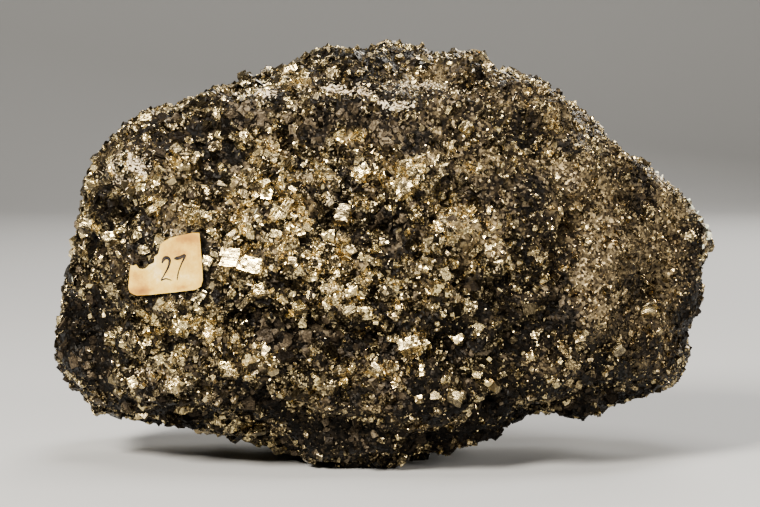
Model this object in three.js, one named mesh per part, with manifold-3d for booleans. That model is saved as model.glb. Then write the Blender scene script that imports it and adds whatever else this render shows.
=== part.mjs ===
// A lump of granular pyrite about 133 mm long, with an old paper number label glued to its face.
// Millimetres. +Z is up, X runs along the length, and the labelled face looks towards -Y.
// The origin is on the surface that the stone stands on, under the middle of the stone.
import * as THREE from 'three';
import { mergeVertices } from 'three/addons/utils/BufferGeometryUtils.js';
import Module from 'manifold-3d';

const wasm = await Module();
wasm.setup();

// The stone as a whole: its middle, how far it reaches to the front and back, and how square its
// sections are, where 2 is an ellipse and more is boxier.
const MIDDLE = new THREE.Vector3(0, 0, 40);
const FRONT_REACH = 34.5;
const BACK_REACH = 36.5;
const SQUARENESS = 3;
const SPHERE_DETAIL = 16;

// The stone's outline from the front, as [x, z] around it from its left end, over the top.
const OUTLINE = [
  [-66.3, 22.4], [-66.0, 31.4], [-63.5, 41.4], [-60.4, 52.4], [-57.8, 61.0], [-54.0, 64.4],
  [-48.9, 69.0], [-40.9, 70.8], [-32.9, 74.8], [-24.9, 76.4], [-16.9, 79.4], [-8.9, 81.8],
  [-1.9, 83.4], [6.1, 82.7], [10.4, 80.2], [12.9, 81.6], [17.1, 78.4], [25.1, 77.4],
  [31.1, 76.0], [35.1, 72.6], [39.1, 68.9], [50.1, 60.4], [55.1, 57.2], [60.7, 53.6],
  [64.7, 49.8], [67.0, 44.8], [65.4, 38.4], [64.9, 32.4], [63.4, 27.4], [61.2, 23.0],
  [63.2, 19.8], [60.6, 16.8], [55.1, 13.6], [48.6, 10.8], [43.6, 8.2], [40.4, 6.8],
  [35.4, 8.6], [30.7, 7.8], [26.2, 6.4], [18.8, 4.2], [9.1, -0.8], [1.1, -2.4],
  [-7.9, -2.4], [-14.9, -0.4], [-21.9, 1.8], [-28.9, 3.8], [-36.9, 5.4], [-46.9, 6.0],
  [-53.9, 8.0], [-60.6, 8.2], [-62.4, 10.8], [-62.8, 14.4], [-65.5, 17.0],
];

// Broad broken faces. Each is a plane: the way it looks, and how far it lies from the middle.
// EDGE_SHARPNESS says how crisp the edges between them are.
const EDGE_SHARPNESS = 24;
const BROKEN_FACES = [
  { out: [-0.10, -0.98, 0.16], reach: 33.5 }, // the main face, in front
  { out: [0.60, -0.79, 0.10], reach: 45.0 }, // the right end of the front, past the crease
  { out: [0.02, -0.37, 0.93], reach: 41.6 }, // the shelf above the pale ridge
  { out: [-0.74, -0.66, 0.12], reach: 56.5 }, // the left shoulder
  { out: [-0.30, -0.56, -0.77], reach: 46.5 }, // the undercut at lower left
  { out: [0.36, -0.56, -0.75], reach: 46.5 }, // the undercut at lower right
  { out: [0.08, 0.98, -0.14], reach: 34.5 }, // the main face behind
  { out: [-0.60, 0.78, 0.20], reach: 49.0 }, // behind, at the left end
  { out: [0.62, 0.74, 0.26], reach: 49.0 }, // behind, at the right end
  { out: [0.10, 0.62, 0.78], reach: 42.5 }, // behind, at the top
  { out: [-0.16, 0.66, -0.73], reach: 43.0 }, // behind, at the bottom
];

// Hollows, grooves and swellings, each along a line from one [x, z] to another. A swelling's depth
// is negative. Side -1 is the front and 1 is the back.
const RELIEF = [
  { from: [-59, 27.2], to: [-51.5, 19.1], width: 3.2, depth: 4.2, side: -1 }, // hollow at the left end
  { from: [-45.5, 47.6], to: [-42.5, 49.5], width: 1.9, depth: 2.4, side: -1 }, // pit above the label
  { from: [-31, 31], to: [-26, 30.1], width: 2.2, depth: 2.8, side: -1 }, // pits right of the label
  { from: [-25, 27.7], to: [-2, 25.8], width: 2.4, depth: 3.0, side: -1 }, // long groove, left part
  { from: [-2, 25.8], to: [12, 21.5], width: 2.0, depth: 2.0, side: -1 }, // long groove, right part
  { from: [-23, 17.3], to: [-4, 16.6], width: 1.2, depth: 1.7, side: -1 }, // ledge low down
  { from: [-17, 9.3], to: [-6, 7.6], width: 2.8, depth: 4.0, side: -1 }, // deep hollow at the foot
  { from: [8, 14.7], to: [20, 22.1], width: 1.7, depth: 2.4, side: -1 }, // slanting groove
  { from: [20, 22.1], to: [35, 34.4], width: 1.9, depth: 1.9, side: -1 }, // its upper end
  { from: [35.6, 61.4], to: [37.2, 48.1], width: 1.5, depth: 2.2, side: -1 }, // the crease
  { from: [37.2, 48.1], to: [34.8, 33.9], width: 1.7, depth: 1.6, side: -1 }, // the crease, lower down
  { from: [24, 63.3], to: [27, 62.7], width: 1.3, depth: 1.5, side: -1 }, // pit near the top right
  { from: [33, 12.4], to: [42, 12], width: 2.4, depth: 2.8, side: -1 }, // undercut at lower right
  { from: [57.6, 37.6], to: [56.8, 20.6], width: 1.5, depth: 2.2, side: -1 }, // upright groove, right end
  { from: [-27, 72.2], to: [34, 70.5], width: 1.5, depth: -1.5, side: -1 }, // the pale ridge
  { from: [-22, 75.1], to: [28, 73.9], width: 1.2, depth: 1.1, side: -1 }, // groove above it
  { from: [-50, 59.5], to: [-44, 65.2], width: 6.0, depth: -1.6, side: -1 }, // swelling at upper left
  { from: [-12, 12.9], to: [14, 11.5], width: 5.5, depth: -1.8, side: -1 }, // swelling low in the middle
  { from: [-34, 33.9], to: [-20, 41.5], width: 7.0, depth: -1.6, side: -1 }, // swelling right of the label
  { from: [44, 31], to: [52, 31], width: 7.0, depth: -1.2, side: -1 }, // swelling at the right end
  { from: [-42, 52], to: [-8, 60], width: 3.0, depth: 3.2, side: 1 }, // behind: upper groove
  { from: [-8, 60], to: [22, 52], width: 2.4, depth: 2.4, side: 1 }, // behind: its right part
  { from: [-30, 22], to: [4, 30], width: 2.6, depth: 2.8, side: 1 }, // behind: lower groove
  { from: [26, 26], to: [38, 40], width: 4.0, depth: 3.6, side: 1 }, // behind: hollow
  { from: [-14, 42], to: [12, 40], width: 8.0, depth: -2.2, side: 1 }, // behind: swelling
  { from: [40, 58], to: [48, 46], width: 4.5, depth: -1.6, side: 1 }, // behind: shoulder
  { from: [-52, 30], to: [-46, 18], width: 4.0, depth: 2.6, side: 1 }, // behind: hollow at the left end
];

// Roughness: chips are flat tilted scales of the broken surface, and lumps are rounder.
const CHIPS = [{ size: 10, slope: 0.2, step: 0.9 }];
const LUMPS = [{ size: 19, height: 1.9 }, { size: 8, height: 1.1 }, { size: 4.2, height: 0.5 }];
// They are weaker by this share round the outline, and the whole surface lies this much lower.
const RIM_CALM = 0.6;
const GRAIN_ROOM = 0.7;

// The paper label: a small card with rounded lower corners whose upper left part has torn off. It is
// glued to a flat place, on the plane that looks towards LABEL_OUT.
const LABEL_CENTRE = { x: -41.6, z: 40.7 };
const LABEL_OUT = new THREE.Vector3(-0.30, -0.945, 0.12).normalize();
const LABEL_PLANE_REACH = 41.3;
const LABEL_TURN = THREE.MathUtils.degToRad(6.5);
const LABEL_WIDTH = 15.2;
const LABEL_HEIGHT = 10.8;
const LABEL_CORNER = 1.7;
const LABEL_THICKNESS = 0.4;
const LABEL_GAP = 0.3;
const SEAT_RADIUS = 9.5;
const SEAT_FADE = 4;

// Crystals big enough to stand out, on the front face: [x, z], width, height, thickness, and turns
// about the line of sight, the upright and the cross axis, in degrees.
const LARGE_CRYSTALS = [
  { at: [-26.4, 40.1], size: [6.6, 3.6, 4.0], turn: [-24, 18, 10] },
  { at: [-29.8, 45.8], size: [3.8, 3.4, 3.4], turn: [32, -20, 24] },
  { at: [-22.2, 35.4], size: [3.8, 2.6, 3.2], turn: [8, 24, -18] },
  { at: [-24.6, 9.7], size: [3.6, 2.8, 3.0], turn: [4, 12, 20] },
  { at: [-8.6, 49.0], size: [4.4, 3.2, 3.4], turn: [-28, -22, 12] },
  { at: [-3.8, 56.3], size: [3.6, 3.0, 3.2], turn: [18, 26, -20] },
  { at: [-21.0, 58.5], size: [3.2, 3.4, 3.0], turn: [48, 14, 22] },
  { at: [4.4, 52.3], size: [4.4, 3.6, 3.4], turn: [14, -28, 26] },
  { at: [-37.4, 49.6], size: [2.8, 2.4, 2.6], turn: [40, 30, 16] },
  { at: [-17.6, 50.4], size: [3.4, 2.8, 3.0], turn: [62, 20, 34] },
  { at: [-12.4, 38.8], size: [4.6, 3.0, 3.2], turn: [-12, 30, 14] },
  { at: [0.8, 33.9], size: [4.4, 3.4, 3.4], turn: [22, -16, 30] },
  { at: [8.8, 39.0], size: [4.2, 2.8, 3.2], turn: [-40, 24, 12] },
  { at: [5.8, 24.0], size: [5.2, 3.0, 3.4], turn: [-18, 12, -24] },
  { at: [-5.2, 30.4], size: [3.2, 3.4, 3.0], turn: [34, 22, 16] },
  { at: [-27.2, 26.8], size: [2.8, 2.6, 2.8], turn: [54, -30, 20] },
  { at: [-31.6, 20.9], size: [3.0, 3.4, 3.0], turn: [20, 34, 28] },
  { at: [-38.6, 28.3], size: [2.8, 2.4, 2.6], turn: [-30, 16, 24] },
  { at: [-51.6, 45.6], size: [3.2, 2.8, 3.0], turn: [12, 40, 10] },
  { at: [-57.6, 47.1], size: [3.6, 3.0, 3.2], turn: [-22, 44, -14] },
  { at: [-52.4, 26.6], size: [2.8, 2.4, 2.6], turn: [6, 20, 30] },
  { at: [-61.6, 28.7], size: [3.0, 2.4, 2.8], turn: [28, 38, 12] },
  { at: [-60.4, 18.3], size: [3.2, 3.0, 3.0], turn: [-16, 30, 26] },
  { at: [15.8, 65.2], size: [3.2, 2.4, 2.8], turn: [44, 18, -20] },
  { at: [17.4, 57.0], size: [3.0, 2.6, 2.8], turn: [-34, 26, 18] },
  { at: [-39.0, 61.0], size: [2.6, 2.6, 2.6], turn: [52, 30, 30] },
  { at: [51.6, 32.3], size: [3.4, 3.2, 3.0], turn: [10, -34, 16] },
  { at: [45.0, 23.8], size: [3.2, 3.0, 3.0], turn: [36, -26, 28] },
  { at: [57.2, 46.6], size: [2.8, 2.6, 2.6], turn: [-20, -40, 14] },
  { at: [-34.6, 11.6], size: [3.2, 2.6, 2.8], turn: [24, 18, -30] },
  { at: [12.2, 12.6], size: [3.4, 3.0, 3.0], turn: [-26, 14, 32] },
  { at: [28.4, 15.4], size: [3.0, 2.8, 2.8], turn: [40, -24, 20] },
];

// Smaller crystals are scattered all over the stone. They stand out of it by about a third.
const SCATTERED = 84;
const SCATTERED_SIZE = [2.6, 4.6];
const SCATTER_SEED = 2027;
const SUNK = 0.46;

// A chain of numbers from 0 to 1 that looks random and is the same every time.
function randomChain(seed) {
  let state = seed;
  return () => {
    state = (state * 16807) % 2147483647;
    return state / 2147483647;
  };
}

// One number from 0 to 1 for each lattice cell i, j, k, and another for each channel.
function cellNumber(i, j, k, channel) {
  const wave = Math.sin(i * 127.1 + j * 311.7 + k * 74.7 + channel * 53.3) * 43758.5453;
  return wave - Math.floor(wave);
}

function smooth(low, high, value) {
  const t = Math.min(1, Math.max(0, (value - low) / (high - low)));
  return t * t * (3 - 2 * t);
}

// A soft random height from -1 to 1 at a point, with features about size across.
function lumps(p, size) {
  const at = [p.x / size, p.y / size, p.z / size];
  const cell = at.map(Math.floor);
  const fade = at.map((v, n) => smooth(0, 1, v - cell[n]));
  let sum = 0;
  for (let corner = 0; corner < 8; corner += 1) {
    const step = [corner & 1, (corner >> 1) & 1, (corner >> 2) & 1];
    const share = step.reduce((whole, s, n) => whole * (s ? fade[n] : 1 - fade[n]), 1);
    sum += share * cellNumber(cell[0] + step[0], cell[1] + step[1], cell[2] + step[2], 0);
  }
  return 2 * sum - 1;
}

// The height of flat, tilted chips about size across: each point takes the nearest chip's plane.
function chips(p, { size, slope, step }) {
  const cell = [p.x, p.y, p.z].map((v) => Math.floor(v / size));
  let nearest = Infinity;
  let height = 0;
  for (let di = -1; di <= 1; di += 1) {
    for (let dj = -1; dj <= 1; dj += 1) {
      for (let dk = -1; dk <= 1; dk += 1) {
        const [i, j, k] = [cell[0] + di, cell[1] + dj, cell[2] + dk];
        const away = [
          p.x - (i + cellNumber(i, j, k, 1)) * size,
          p.y - (j + cellNumber(i, j, k, 2)) * size,
          p.z - (k + cellNumber(i, j, k, 3)) * size,
        ];
        const distance = away[0] ** 2 + away[1] ** 2 + away[2] ** 2;
        if (distance < nearest) {
          nearest = distance;
          const tilt = away.reduce((sum, v, n) => sum + v * (2 * cellNumber(i, j, k, 4 + n) - 1), 0);
          height = 2 * slope * tilt + step * (2 * cellNumber(i, j, k, 7) - 1);
        }
      }
    }
  }
  return height;
}

// How far the outline lies from the middle, along the in-plane direction (dx, dz).
function outlineReach(dx, dz) {
  for (let n = 0; n < OUTLINE.length; n += 1) {
    const [ax, az] = [OUTLINE[n][0] - MIDDLE.x, OUTLINE[n][1] - MIDDLE.z];
    const next = OUTLINE[(n + 1) % OUTLINE.length];
    const [bx, bz] = [next[0] - MIDDLE.x, next[1] - MIDDLE.z];
    const [sideA, sideB] = [dx * az - dz * ax, dx * bz - dz * bx];
    if (sideA >= 0 && sideB < 0 && dx * ax + dz * az > 0) {
      return (ax * (bz - az) - az * (bx - ax)) / (dx * (bz - az) - dz * (bx - ax));
    }
  }
  return 0;
}

// The distance from the point (x, z) to the line between two [x, z] places.
function distanceToLine(x, z, from, to) {
  const [dx, dz] = [to[0] - from[0], to[1] - from[1]];
  const along = ((x - from[0]) * dx + (z - from[1]) * dz) / (dx * dx + dz * dz);
  const t = Math.min(1, Math.max(0, along));
  return Math.hypot(x - from[0] - t * dx, z - from[1] - t * dz);
}

// How far the stone reaches from its middle in the unit direction u, without its roughness.
function bodyReach(u) {
  const across = Math.hypot(u.x, u.z);
  const rim = across > 1e-6 ? outlineReach(u.x / across, u.z / across) : 1;
  const depth = u.y < 0 ? FRONT_REACH : BACK_REACH;
  const inverse = ((across / rim) ** SQUARENESS + (Math.abs(u.y) / depth) ** SQUARENESS)
    ** (1 / SQUARENESS);
  let sum = inverse ** EDGE_SHARPNESS;
  for (const { out, reach } of BROKEN_FACES) {
    const facing = (u.x * out[0] + u.y * out[1] + u.z * out[2]) / reach;
    if (facing > 0) sum += facing ** EDGE_SHARPNESS;
  }
  return sum ** (-1 / EDGE_SHARPNESS);
}

// The label's middle, on the plane that it is glued to.
function labelMiddle() {
  const reach = LABEL_PLANE_REACH + LABEL_OUT.dot(MIDDLE);
  const y = (reach - LABEL_OUT.x * LABEL_CENTRE.x - LABEL_OUT.z * LABEL_CENTRE.z) / LABEL_OUT.y;
  return new THREE.Vector3(LABEL_CENTRE.x, y, LABEL_CENTRE.z);
}

// The point of the stone's surface in the unit direction u.
function surfacePoint(u) {
  let reach = bodyReach(u);
  const p = MIDDLE.clone().addScaledVector(u, reach);
  for (const { from, to, width, depth, side } of RELIEF) {
    const near = distanceToLine(p.x, p.z, from, to) / width;
    reach -= depth * Math.exp(-near * near) * smooth(0.05, 0.4, side * u.y);
  }
  const rough = 1 - RIM_CALM * smooth(0.35, 0.05, Math.abs(u.y));
  reach -= GRAIN_ROOM;
  for (const kind of CHIPS) reach += rough * chips(p, kind);
  for (const { size, height } of LUMPS) reach += rough * height * lumps(p, size);
  const seat = smooth(SEAT_RADIUS + SEAT_FADE, SEAT_RADIUS, p.distanceTo(labelMiddle()));
  if (seat > 0) reach += seat * (LABEL_PLANE_REACH / u.dot(LABEL_OUT) - reach);
  return MIDDLE.clone().addScaledVector(u, reach);
}

// The way the surface looks at u, from two points close by.
function surfaceNormal(u) {
  const reach = 0.04;
  const side = new THREE.Vector3(0, 0, 1).cross(u).normalize();
  const up = u.clone().cross(side);
  const here = surfacePoint(u);
  const right = surfacePoint(u.clone().addScaledVector(side, reach).normalize());
  const above = surfacePoint(u.clone().addScaledVector(up, reach).normalize());
  return right.sub(here).cross(above.sub(here)).normalize();
}

// The direction from the middle in which the front surface is at [x, z].
function frontDirection([x, z]) {
  const u = new THREE.Vector3(x, -FRONT_REACH / 2, z - MIDDLE.z).normalize();
  for (let round = 0; round < 12; round += 1) {
    const y = surfacePoint(u).y;
    u.set(x - MIDDLE.x, y - MIDDLE.y, z - MIDDLE.z).normalize();
  }
  return u;
}

function toManifold(geometry) {
  const bare = geometry.clone();
  bare.deleteAttribute('normal');
  bare.deleteAttribute('uv');
  const merged = mergeVertices(bare, 1e-4);
  return new wasm.Manifold(new wasm.Mesh({
    numProp: 3,
    vertProperties: new Float32Array(merged.attributes.position.array),
    triVerts: new Uint32Array(merged.index.array),
  }));
}

function toGeometry(solid) {
  const { vertProperties, triVerts } = solid.getMesh();
  const geometry = new THREE.BufferGeometry();
  geometry.setAttribute('position', new THREE.BufferAttribute(new Float32Array(vertProperties), 3));
  geometry.setIndex(new THREE.BufferAttribute(new Uint32Array(triVerts), 1));
  geometry.computeVertexNormals();
  return geometry;
}

// The stone before its crystals: a sphere whose points are moved out to the surface.
function rockBody() {
  const geometry = new THREE.IcosahedronGeometry(1, SPHERE_DETAIL);
  const places = geometry.attributes.position;
  const u = new THREE.Vector3();
  for (let n = 0; n < places.count; n += 1) {
    u.fromBufferAttribute(places, n).normalize();
    // Corners that meet are rounded alike, so that they come out as one point.
    u.set(...u.toArray().map((v) => Math.round(v * 1e5) / 1e5)).normalize();
    places.setXYZ(n, ...surfacePoint(u).toArray());
  }
  return toManifold(geometry);
}

// A blocky crystal of the given size and turn, sunk into the surface at the direction u.
function crystal(u, size, turn) {
  const box = new THREE.BoxGeometry(...size);
  const place = surfacePoint(u);
  const sunk = surfaceNormal(u).multiplyScalar(-SUNK * Math.min(...size));
  box.applyMatrix4(new THREE.Matrix4().compose(
    place.add(sunk),
    new THREE.Quaternion().setFromEuler(new THREE.Euler(...turn, 'YZX')),
    new THREE.Vector3(1, 1, 1),
  ));
  return toManifold(box);
}

// Every crystal that stands out of the stone: those on the front face, then the scattered ones.
function allCrystals() {
  const made = LARGE_CRYSTALS.map(({ at, size, turn }) => {
    const [sight, upright, cross] = turn.map(THREE.MathUtils.degToRad);
    return crystal(frontDirection(at), size, [cross, sight, upright]);
  });
  const random = randomChain(SCATTER_SEED);
  const golden = Math.PI * (3 - Math.sqrt(5));
  for (let n = 0; n < SCATTERED; n += 1) {
    const height = 1 - (2 * (n + 0.2 + 0.6 * random())) / SCATTERED;
    const round = n * golden + 0.5 * random();
    const level = Math.sqrt(1 - height * height);
    const u = new THREE.Vector3(level * Math.cos(round), level * Math.sin(round), height);
    const [least, most] = SCATTERED_SIZE;
    const length = least + (most - least) * random() ** 2;
    const size = [length, length * (0.7 + 0.3 * random()), length * (0.7 + 0.3 * random())];
    const turn = [random() * Math.PI, random() * Math.PI, random() * Math.PI];
    const place = surfacePoint(u);
    const onLabel = place.distanceTo(labelMiddle()) < SEAT_RADIUS + 0.6 * length;
    if (place.z > length && !onLabel) made.push(crystal(u, size, turn));
  }
  return made;
}

// The stone: its body with the crystals grown into one solid, worn flat where it stands.
function pyriteStone() {
  let solid = rockBody();
  for (const grown of allCrystals()) solid = solid.add(grown);
  const reach = 200;
  const below = new THREE.BoxGeometry(reach, reach, reach).translate(0, 0, -reach / 2);
  solid = solid.subtract(toManifold(below));
  // A gap sealed in between two crystals would be a second, inner shell, so only the largest stays.
  const shells = solid.decompose().sort((one, other) => other.volume() - one.volume());
  const material = new THREE.MeshStandardMaterial({ color: 0x8f7a4c, roughness: 0.4, metalness: 0.8 });
  const mesh = new THREE.Mesh(toGeometry(shells[0]), material);
  mesh.name = 'pyrite_stone';
  return mesh;
}

// The label's outline round its middle: sharp upper right corner, rounded lower corners, and a
// ragged tear from the top edge down to the left edge.
function labelOutline() {
  const [right, top] = [LABEL_WIDTH / 2, LABEL_HEIGHT / 2];
  const tear = [[4.9, 5.3], [1.7, 4.9], [-0.4, 3.9], [-0.9, 2.2], [-1.8, 1.6], [-1.9, 0.5],
    [-2.9, 0.2], [-3.8, -0.4], [-5.0, -0.3], [-5.6, 0.5], [-6.7, 0.5], [-7.1, -1.2]];
  const shape = new THREE.Shape();
  shape.moveTo(right, top);
  tear.forEach(([x, y]) => shape.lineTo(x, y));
  shape.lineTo(-right, LABEL_CORNER - top);
  shape.absarc(LABEL_CORNER - right, LABEL_CORNER - top, LABEL_CORNER, Math.PI, 1.5 * Math.PI);
  shape.lineTo(right - LABEL_CORNER, -top);
  shape.absarc(right - LABEL_CORNER, LABEL_CORNER - top, LABEL_CORNER, 1.5 * Math.PI, 2 * Math.PI);
  shape.closePath();
  return shape;
}

// The paper label, flat on its place a hair above the stone.
function paperLabel() {
  const geometry = new THREE.ExtrudeGeometry(labelOutline(), {
    depth: LABEL_THICKNESS, bevelEnabled: false, curveSegments: 6,
  });
  const material = new THREE.MeshStandardMaterial({ color: 0xe2bf8c, roughness: 0.8, metalness: 0 });
  const mesh = new THREE.Mesh(geometry, material);
  mesh.name = 'paper_label';
  const right = new THREE.Vector3(0, 0, 1).cross(LABEL_OUT).normalize();
  const up = LABEL_OUT.clone().cross(right);
  const turned = new THREE.Matrix4().makeBasis(right, up, LABEL_OUT)
    .multiply(new THREE.Matrix4().makeRotationZ(LABEL_TURN));
  mesh.quaternion.setFromRotationMatrix(turned);
  mesh.position.copy(labelMiddle().addScaledVector(LABEL_OUT, LABEL_GAP));
  return mesh;
}

const specimen = new THREE.Group();
specimen.add(pyriteStone(), paperLabel());

export default specimen;
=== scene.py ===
import math

import bmesh
import bpy
import numpy as np
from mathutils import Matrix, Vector
from mathutils.bvhtree import BVHTree
from mathutils.geometry import delaunay_2d_cdt
from mathutils.kdtree import KDTree


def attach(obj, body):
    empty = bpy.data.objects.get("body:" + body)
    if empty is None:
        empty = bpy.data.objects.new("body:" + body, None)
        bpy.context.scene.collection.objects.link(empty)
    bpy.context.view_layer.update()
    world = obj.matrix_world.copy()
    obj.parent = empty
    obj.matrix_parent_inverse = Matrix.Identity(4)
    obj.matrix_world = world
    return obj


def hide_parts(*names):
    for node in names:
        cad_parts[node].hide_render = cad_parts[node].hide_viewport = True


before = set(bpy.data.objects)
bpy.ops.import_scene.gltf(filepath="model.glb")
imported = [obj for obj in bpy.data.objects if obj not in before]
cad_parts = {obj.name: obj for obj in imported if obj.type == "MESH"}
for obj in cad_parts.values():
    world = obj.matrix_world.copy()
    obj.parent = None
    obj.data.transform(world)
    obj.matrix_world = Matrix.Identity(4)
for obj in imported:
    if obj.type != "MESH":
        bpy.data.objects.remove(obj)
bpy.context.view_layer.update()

# The view. The photograph looks straight at the labelled face, from a little above, with a long
# lens. Shapes below are worked out in millimetres and turned into metres when they become meshes.
MM = 0.001
PHOTO_SIZE = (760, 507)
MM_PER_PIXEL = 0.2  # in the plane through the stone's middle
CAMERA_DISTANCE = 550.0
CAMERA_RISE = math.radians(4)
CAMERA_AIM = np.array([-0.9, 0.0, 40.7])
SENSOR_WIDTH = 36.0
CAMERA_BACK = np.array([0.0, -math.cos(CAMERA_RISE), math.sin(CAMERA_RISE)])
CAMERA_UP = np.array([0.0, math.sin(CAMERA_RISE), math.cos(CAMERA_RISE)])
CAMERA_PLACE = CAMERA_AIM + CAMERA_BACK * CAMERA_DISTANCE


def put_camera():
    lens = bpy.data.cameras.new("camera")
    lens.sensor_width = SENSOR_WIDTH
    lens.lens = SENSOR_WIDTH * CAMERA_DISTANCE / (PHOTO_SIZE[0] * MM_PER_PIXEL)
    lens.clip_start = 0.01
    camera = bpy.data.objects.new("camera", lens)
    camera.location = Vector(CAMERA_PLACE * MM)
    camera.rotation_euler = (math.pi / 2 - CAMERA_RISE, 0, 0)
    bpy.context.collection.objects.link(camera)
    bpy.context.scene.camera = camera


put_camera()


def photo_place(points):
    """The photograph's column and row of points in millimetres."""
    away = points - CAMERA_PLACE
    scale = CAMERA_DISTANCE / MM_PER_PIXEL / (away @ -CAMERA_BACK)
    columns = PHOTO_SIZE[0] / 2 + away[:, 0] * scale
    rows = PHOTO_SIZE[1] / 2 - (away @ CAMERA_UP) * scale
    return columns, rows


# Studio light. A small key light stands at upper left in front, a weaker one over the top, a dim one
# at the right and a broad one behind, so that tilted crystal faces flash or go dark as they do in
# the photograph.
LIGHTS = {
    "key": {"at": (-0.36, -0.52, 0.46), "size": (0.20, 0.20), "watts": 22.0, "tint": (1.0, 0.93, 0.80)},
    "top": {"at": (0.06, -0.04, 0.74), "size": (0.50, 0.20), "watts": 6.0, "tint": (1.0, 0.96, 0.89)},
    "right": {"at": (0.60, -0.38, 0.26), "size": (0.16, 0.34), "watts": 4.8, "tint": (1.0, 0.94, 0.84)},
    "behind": {"at": (0.25, 0.70, 0.50), "size": (0.45, 0.45), "watts": 7.5, "tint": (1.0, 0.95, 0.86)},
}
ROOM_GREY = 0.012


def put_lights():
    middle = Vector(CAMERA_AIM * MM)
    for name, light in LIGHTS.items():
        data = bpy.data.lights.new(name, "AREA")
        data.shape = "RECTANGLE"
        data.size, data.size_y = light["size"]
        data.energy = light["watts"]
        data.color = light["tint"]
        lamp = bpy.data.objects.new(name, data)
        lamp.location = light["at"]
        lamp.rotation_euler = (middle - lamp.location).to_track_quat("-Z", "Y").to_euler()
        bpy.context.collection.objects.link(lamp)
    world = bpy.data.worlds.new("room")
    world.use_nodes = True
    background = world.node_tree.nodes["Background"]
    background.inputs["Color"].default_value = (ROOM_GREY, ROOM_GREY * 0.97, ROOM_GREY * 0.92, 1)
    bpy.context.scene.world = world


put_lights()

# The floor: a plain pale sheet of paper that the stone stands on. It rises into a backdrop far
# behind the stone.
FLOOR_REACH = 1.6
BACKDROP_START = 0.9
BACKDROP_RADIUS = 0.35
FLOOR_COLOUR = (0.345, 0.350, 0.362, 1)


def put_floor():
    profile = [(-FLOOR_REACH, 0.0), (BACKDROP_START, 0.0)]
    for step in range(1, 13):
        turn = step / 12 * math.pi / 2
        rise = BACKDROP_RADIUS * (1 - math.cos(turn))
        profile.append((BACKDROP_START + BACKDROP_RADIUS * math.sin(turn), rise))
    profile.append((BACKDROP_START + BACKDROP_RADIUS, FLOOR_REACH))
    sheet = bpy.data.meshes.new("floor")
    points = [(side * FLOOR_REACH, y, z) for y, z in profile for side in (-1, 1)]
    strips = [(2 * n, 2 * n + 1, 2 * n + 3, 2 * n + 2) for n in range(len(profile) - 1)]
    sheet.from_pydata(points, [], strips)
    for face in sheet.polygons:
        face.use_smooth = True
    paint = bpy.data.materials.new("floor_paint")
    paint.use_nodes = True
    shader = paint.node_tree.nodes["Principled BSDF"]
    shader.inputs["Base Color"].default_value = FLOOR_COLOUR
    shader.inputs["Roughness"].default_value = 0.85
    sheet.materials.append(paint)
    floor = bpy.data.objects.new("floor", sheet)
    bpy.context.collection.objects.link(floor)


put_floor()

# The rock itself: the dark, finely granular mass that holds the pyrite. It broke off as one lump.
# Its surface follows the solid stone a little below it, with pits at the dark patches, and the
# crystals stand on it.
ROCK_MIDDLE = np.array([0.0, 0.0, 40.0])
ROCK_STEPS = 62
ROCK_INSET = 0.55
ROCK_LUMPS = [(5.0, 0.34), (2.4, 0.34), (1.4, 0.18)]  # size and height of each kind
PIT_DEPTH = 1.3
WORN_FACE_TOP = 0.05
# Below this height lies the flat underside that the stone stands on: no grain stands there, and the rock's
# colour there is darker as painted shade.
UNDERSIDE_EDGE = 0.3  # below this height no grain stands
MOST_POWDER = 0.80
POWDER_COLOUR = (0.72, 0.59, 0.41, 1)
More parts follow.
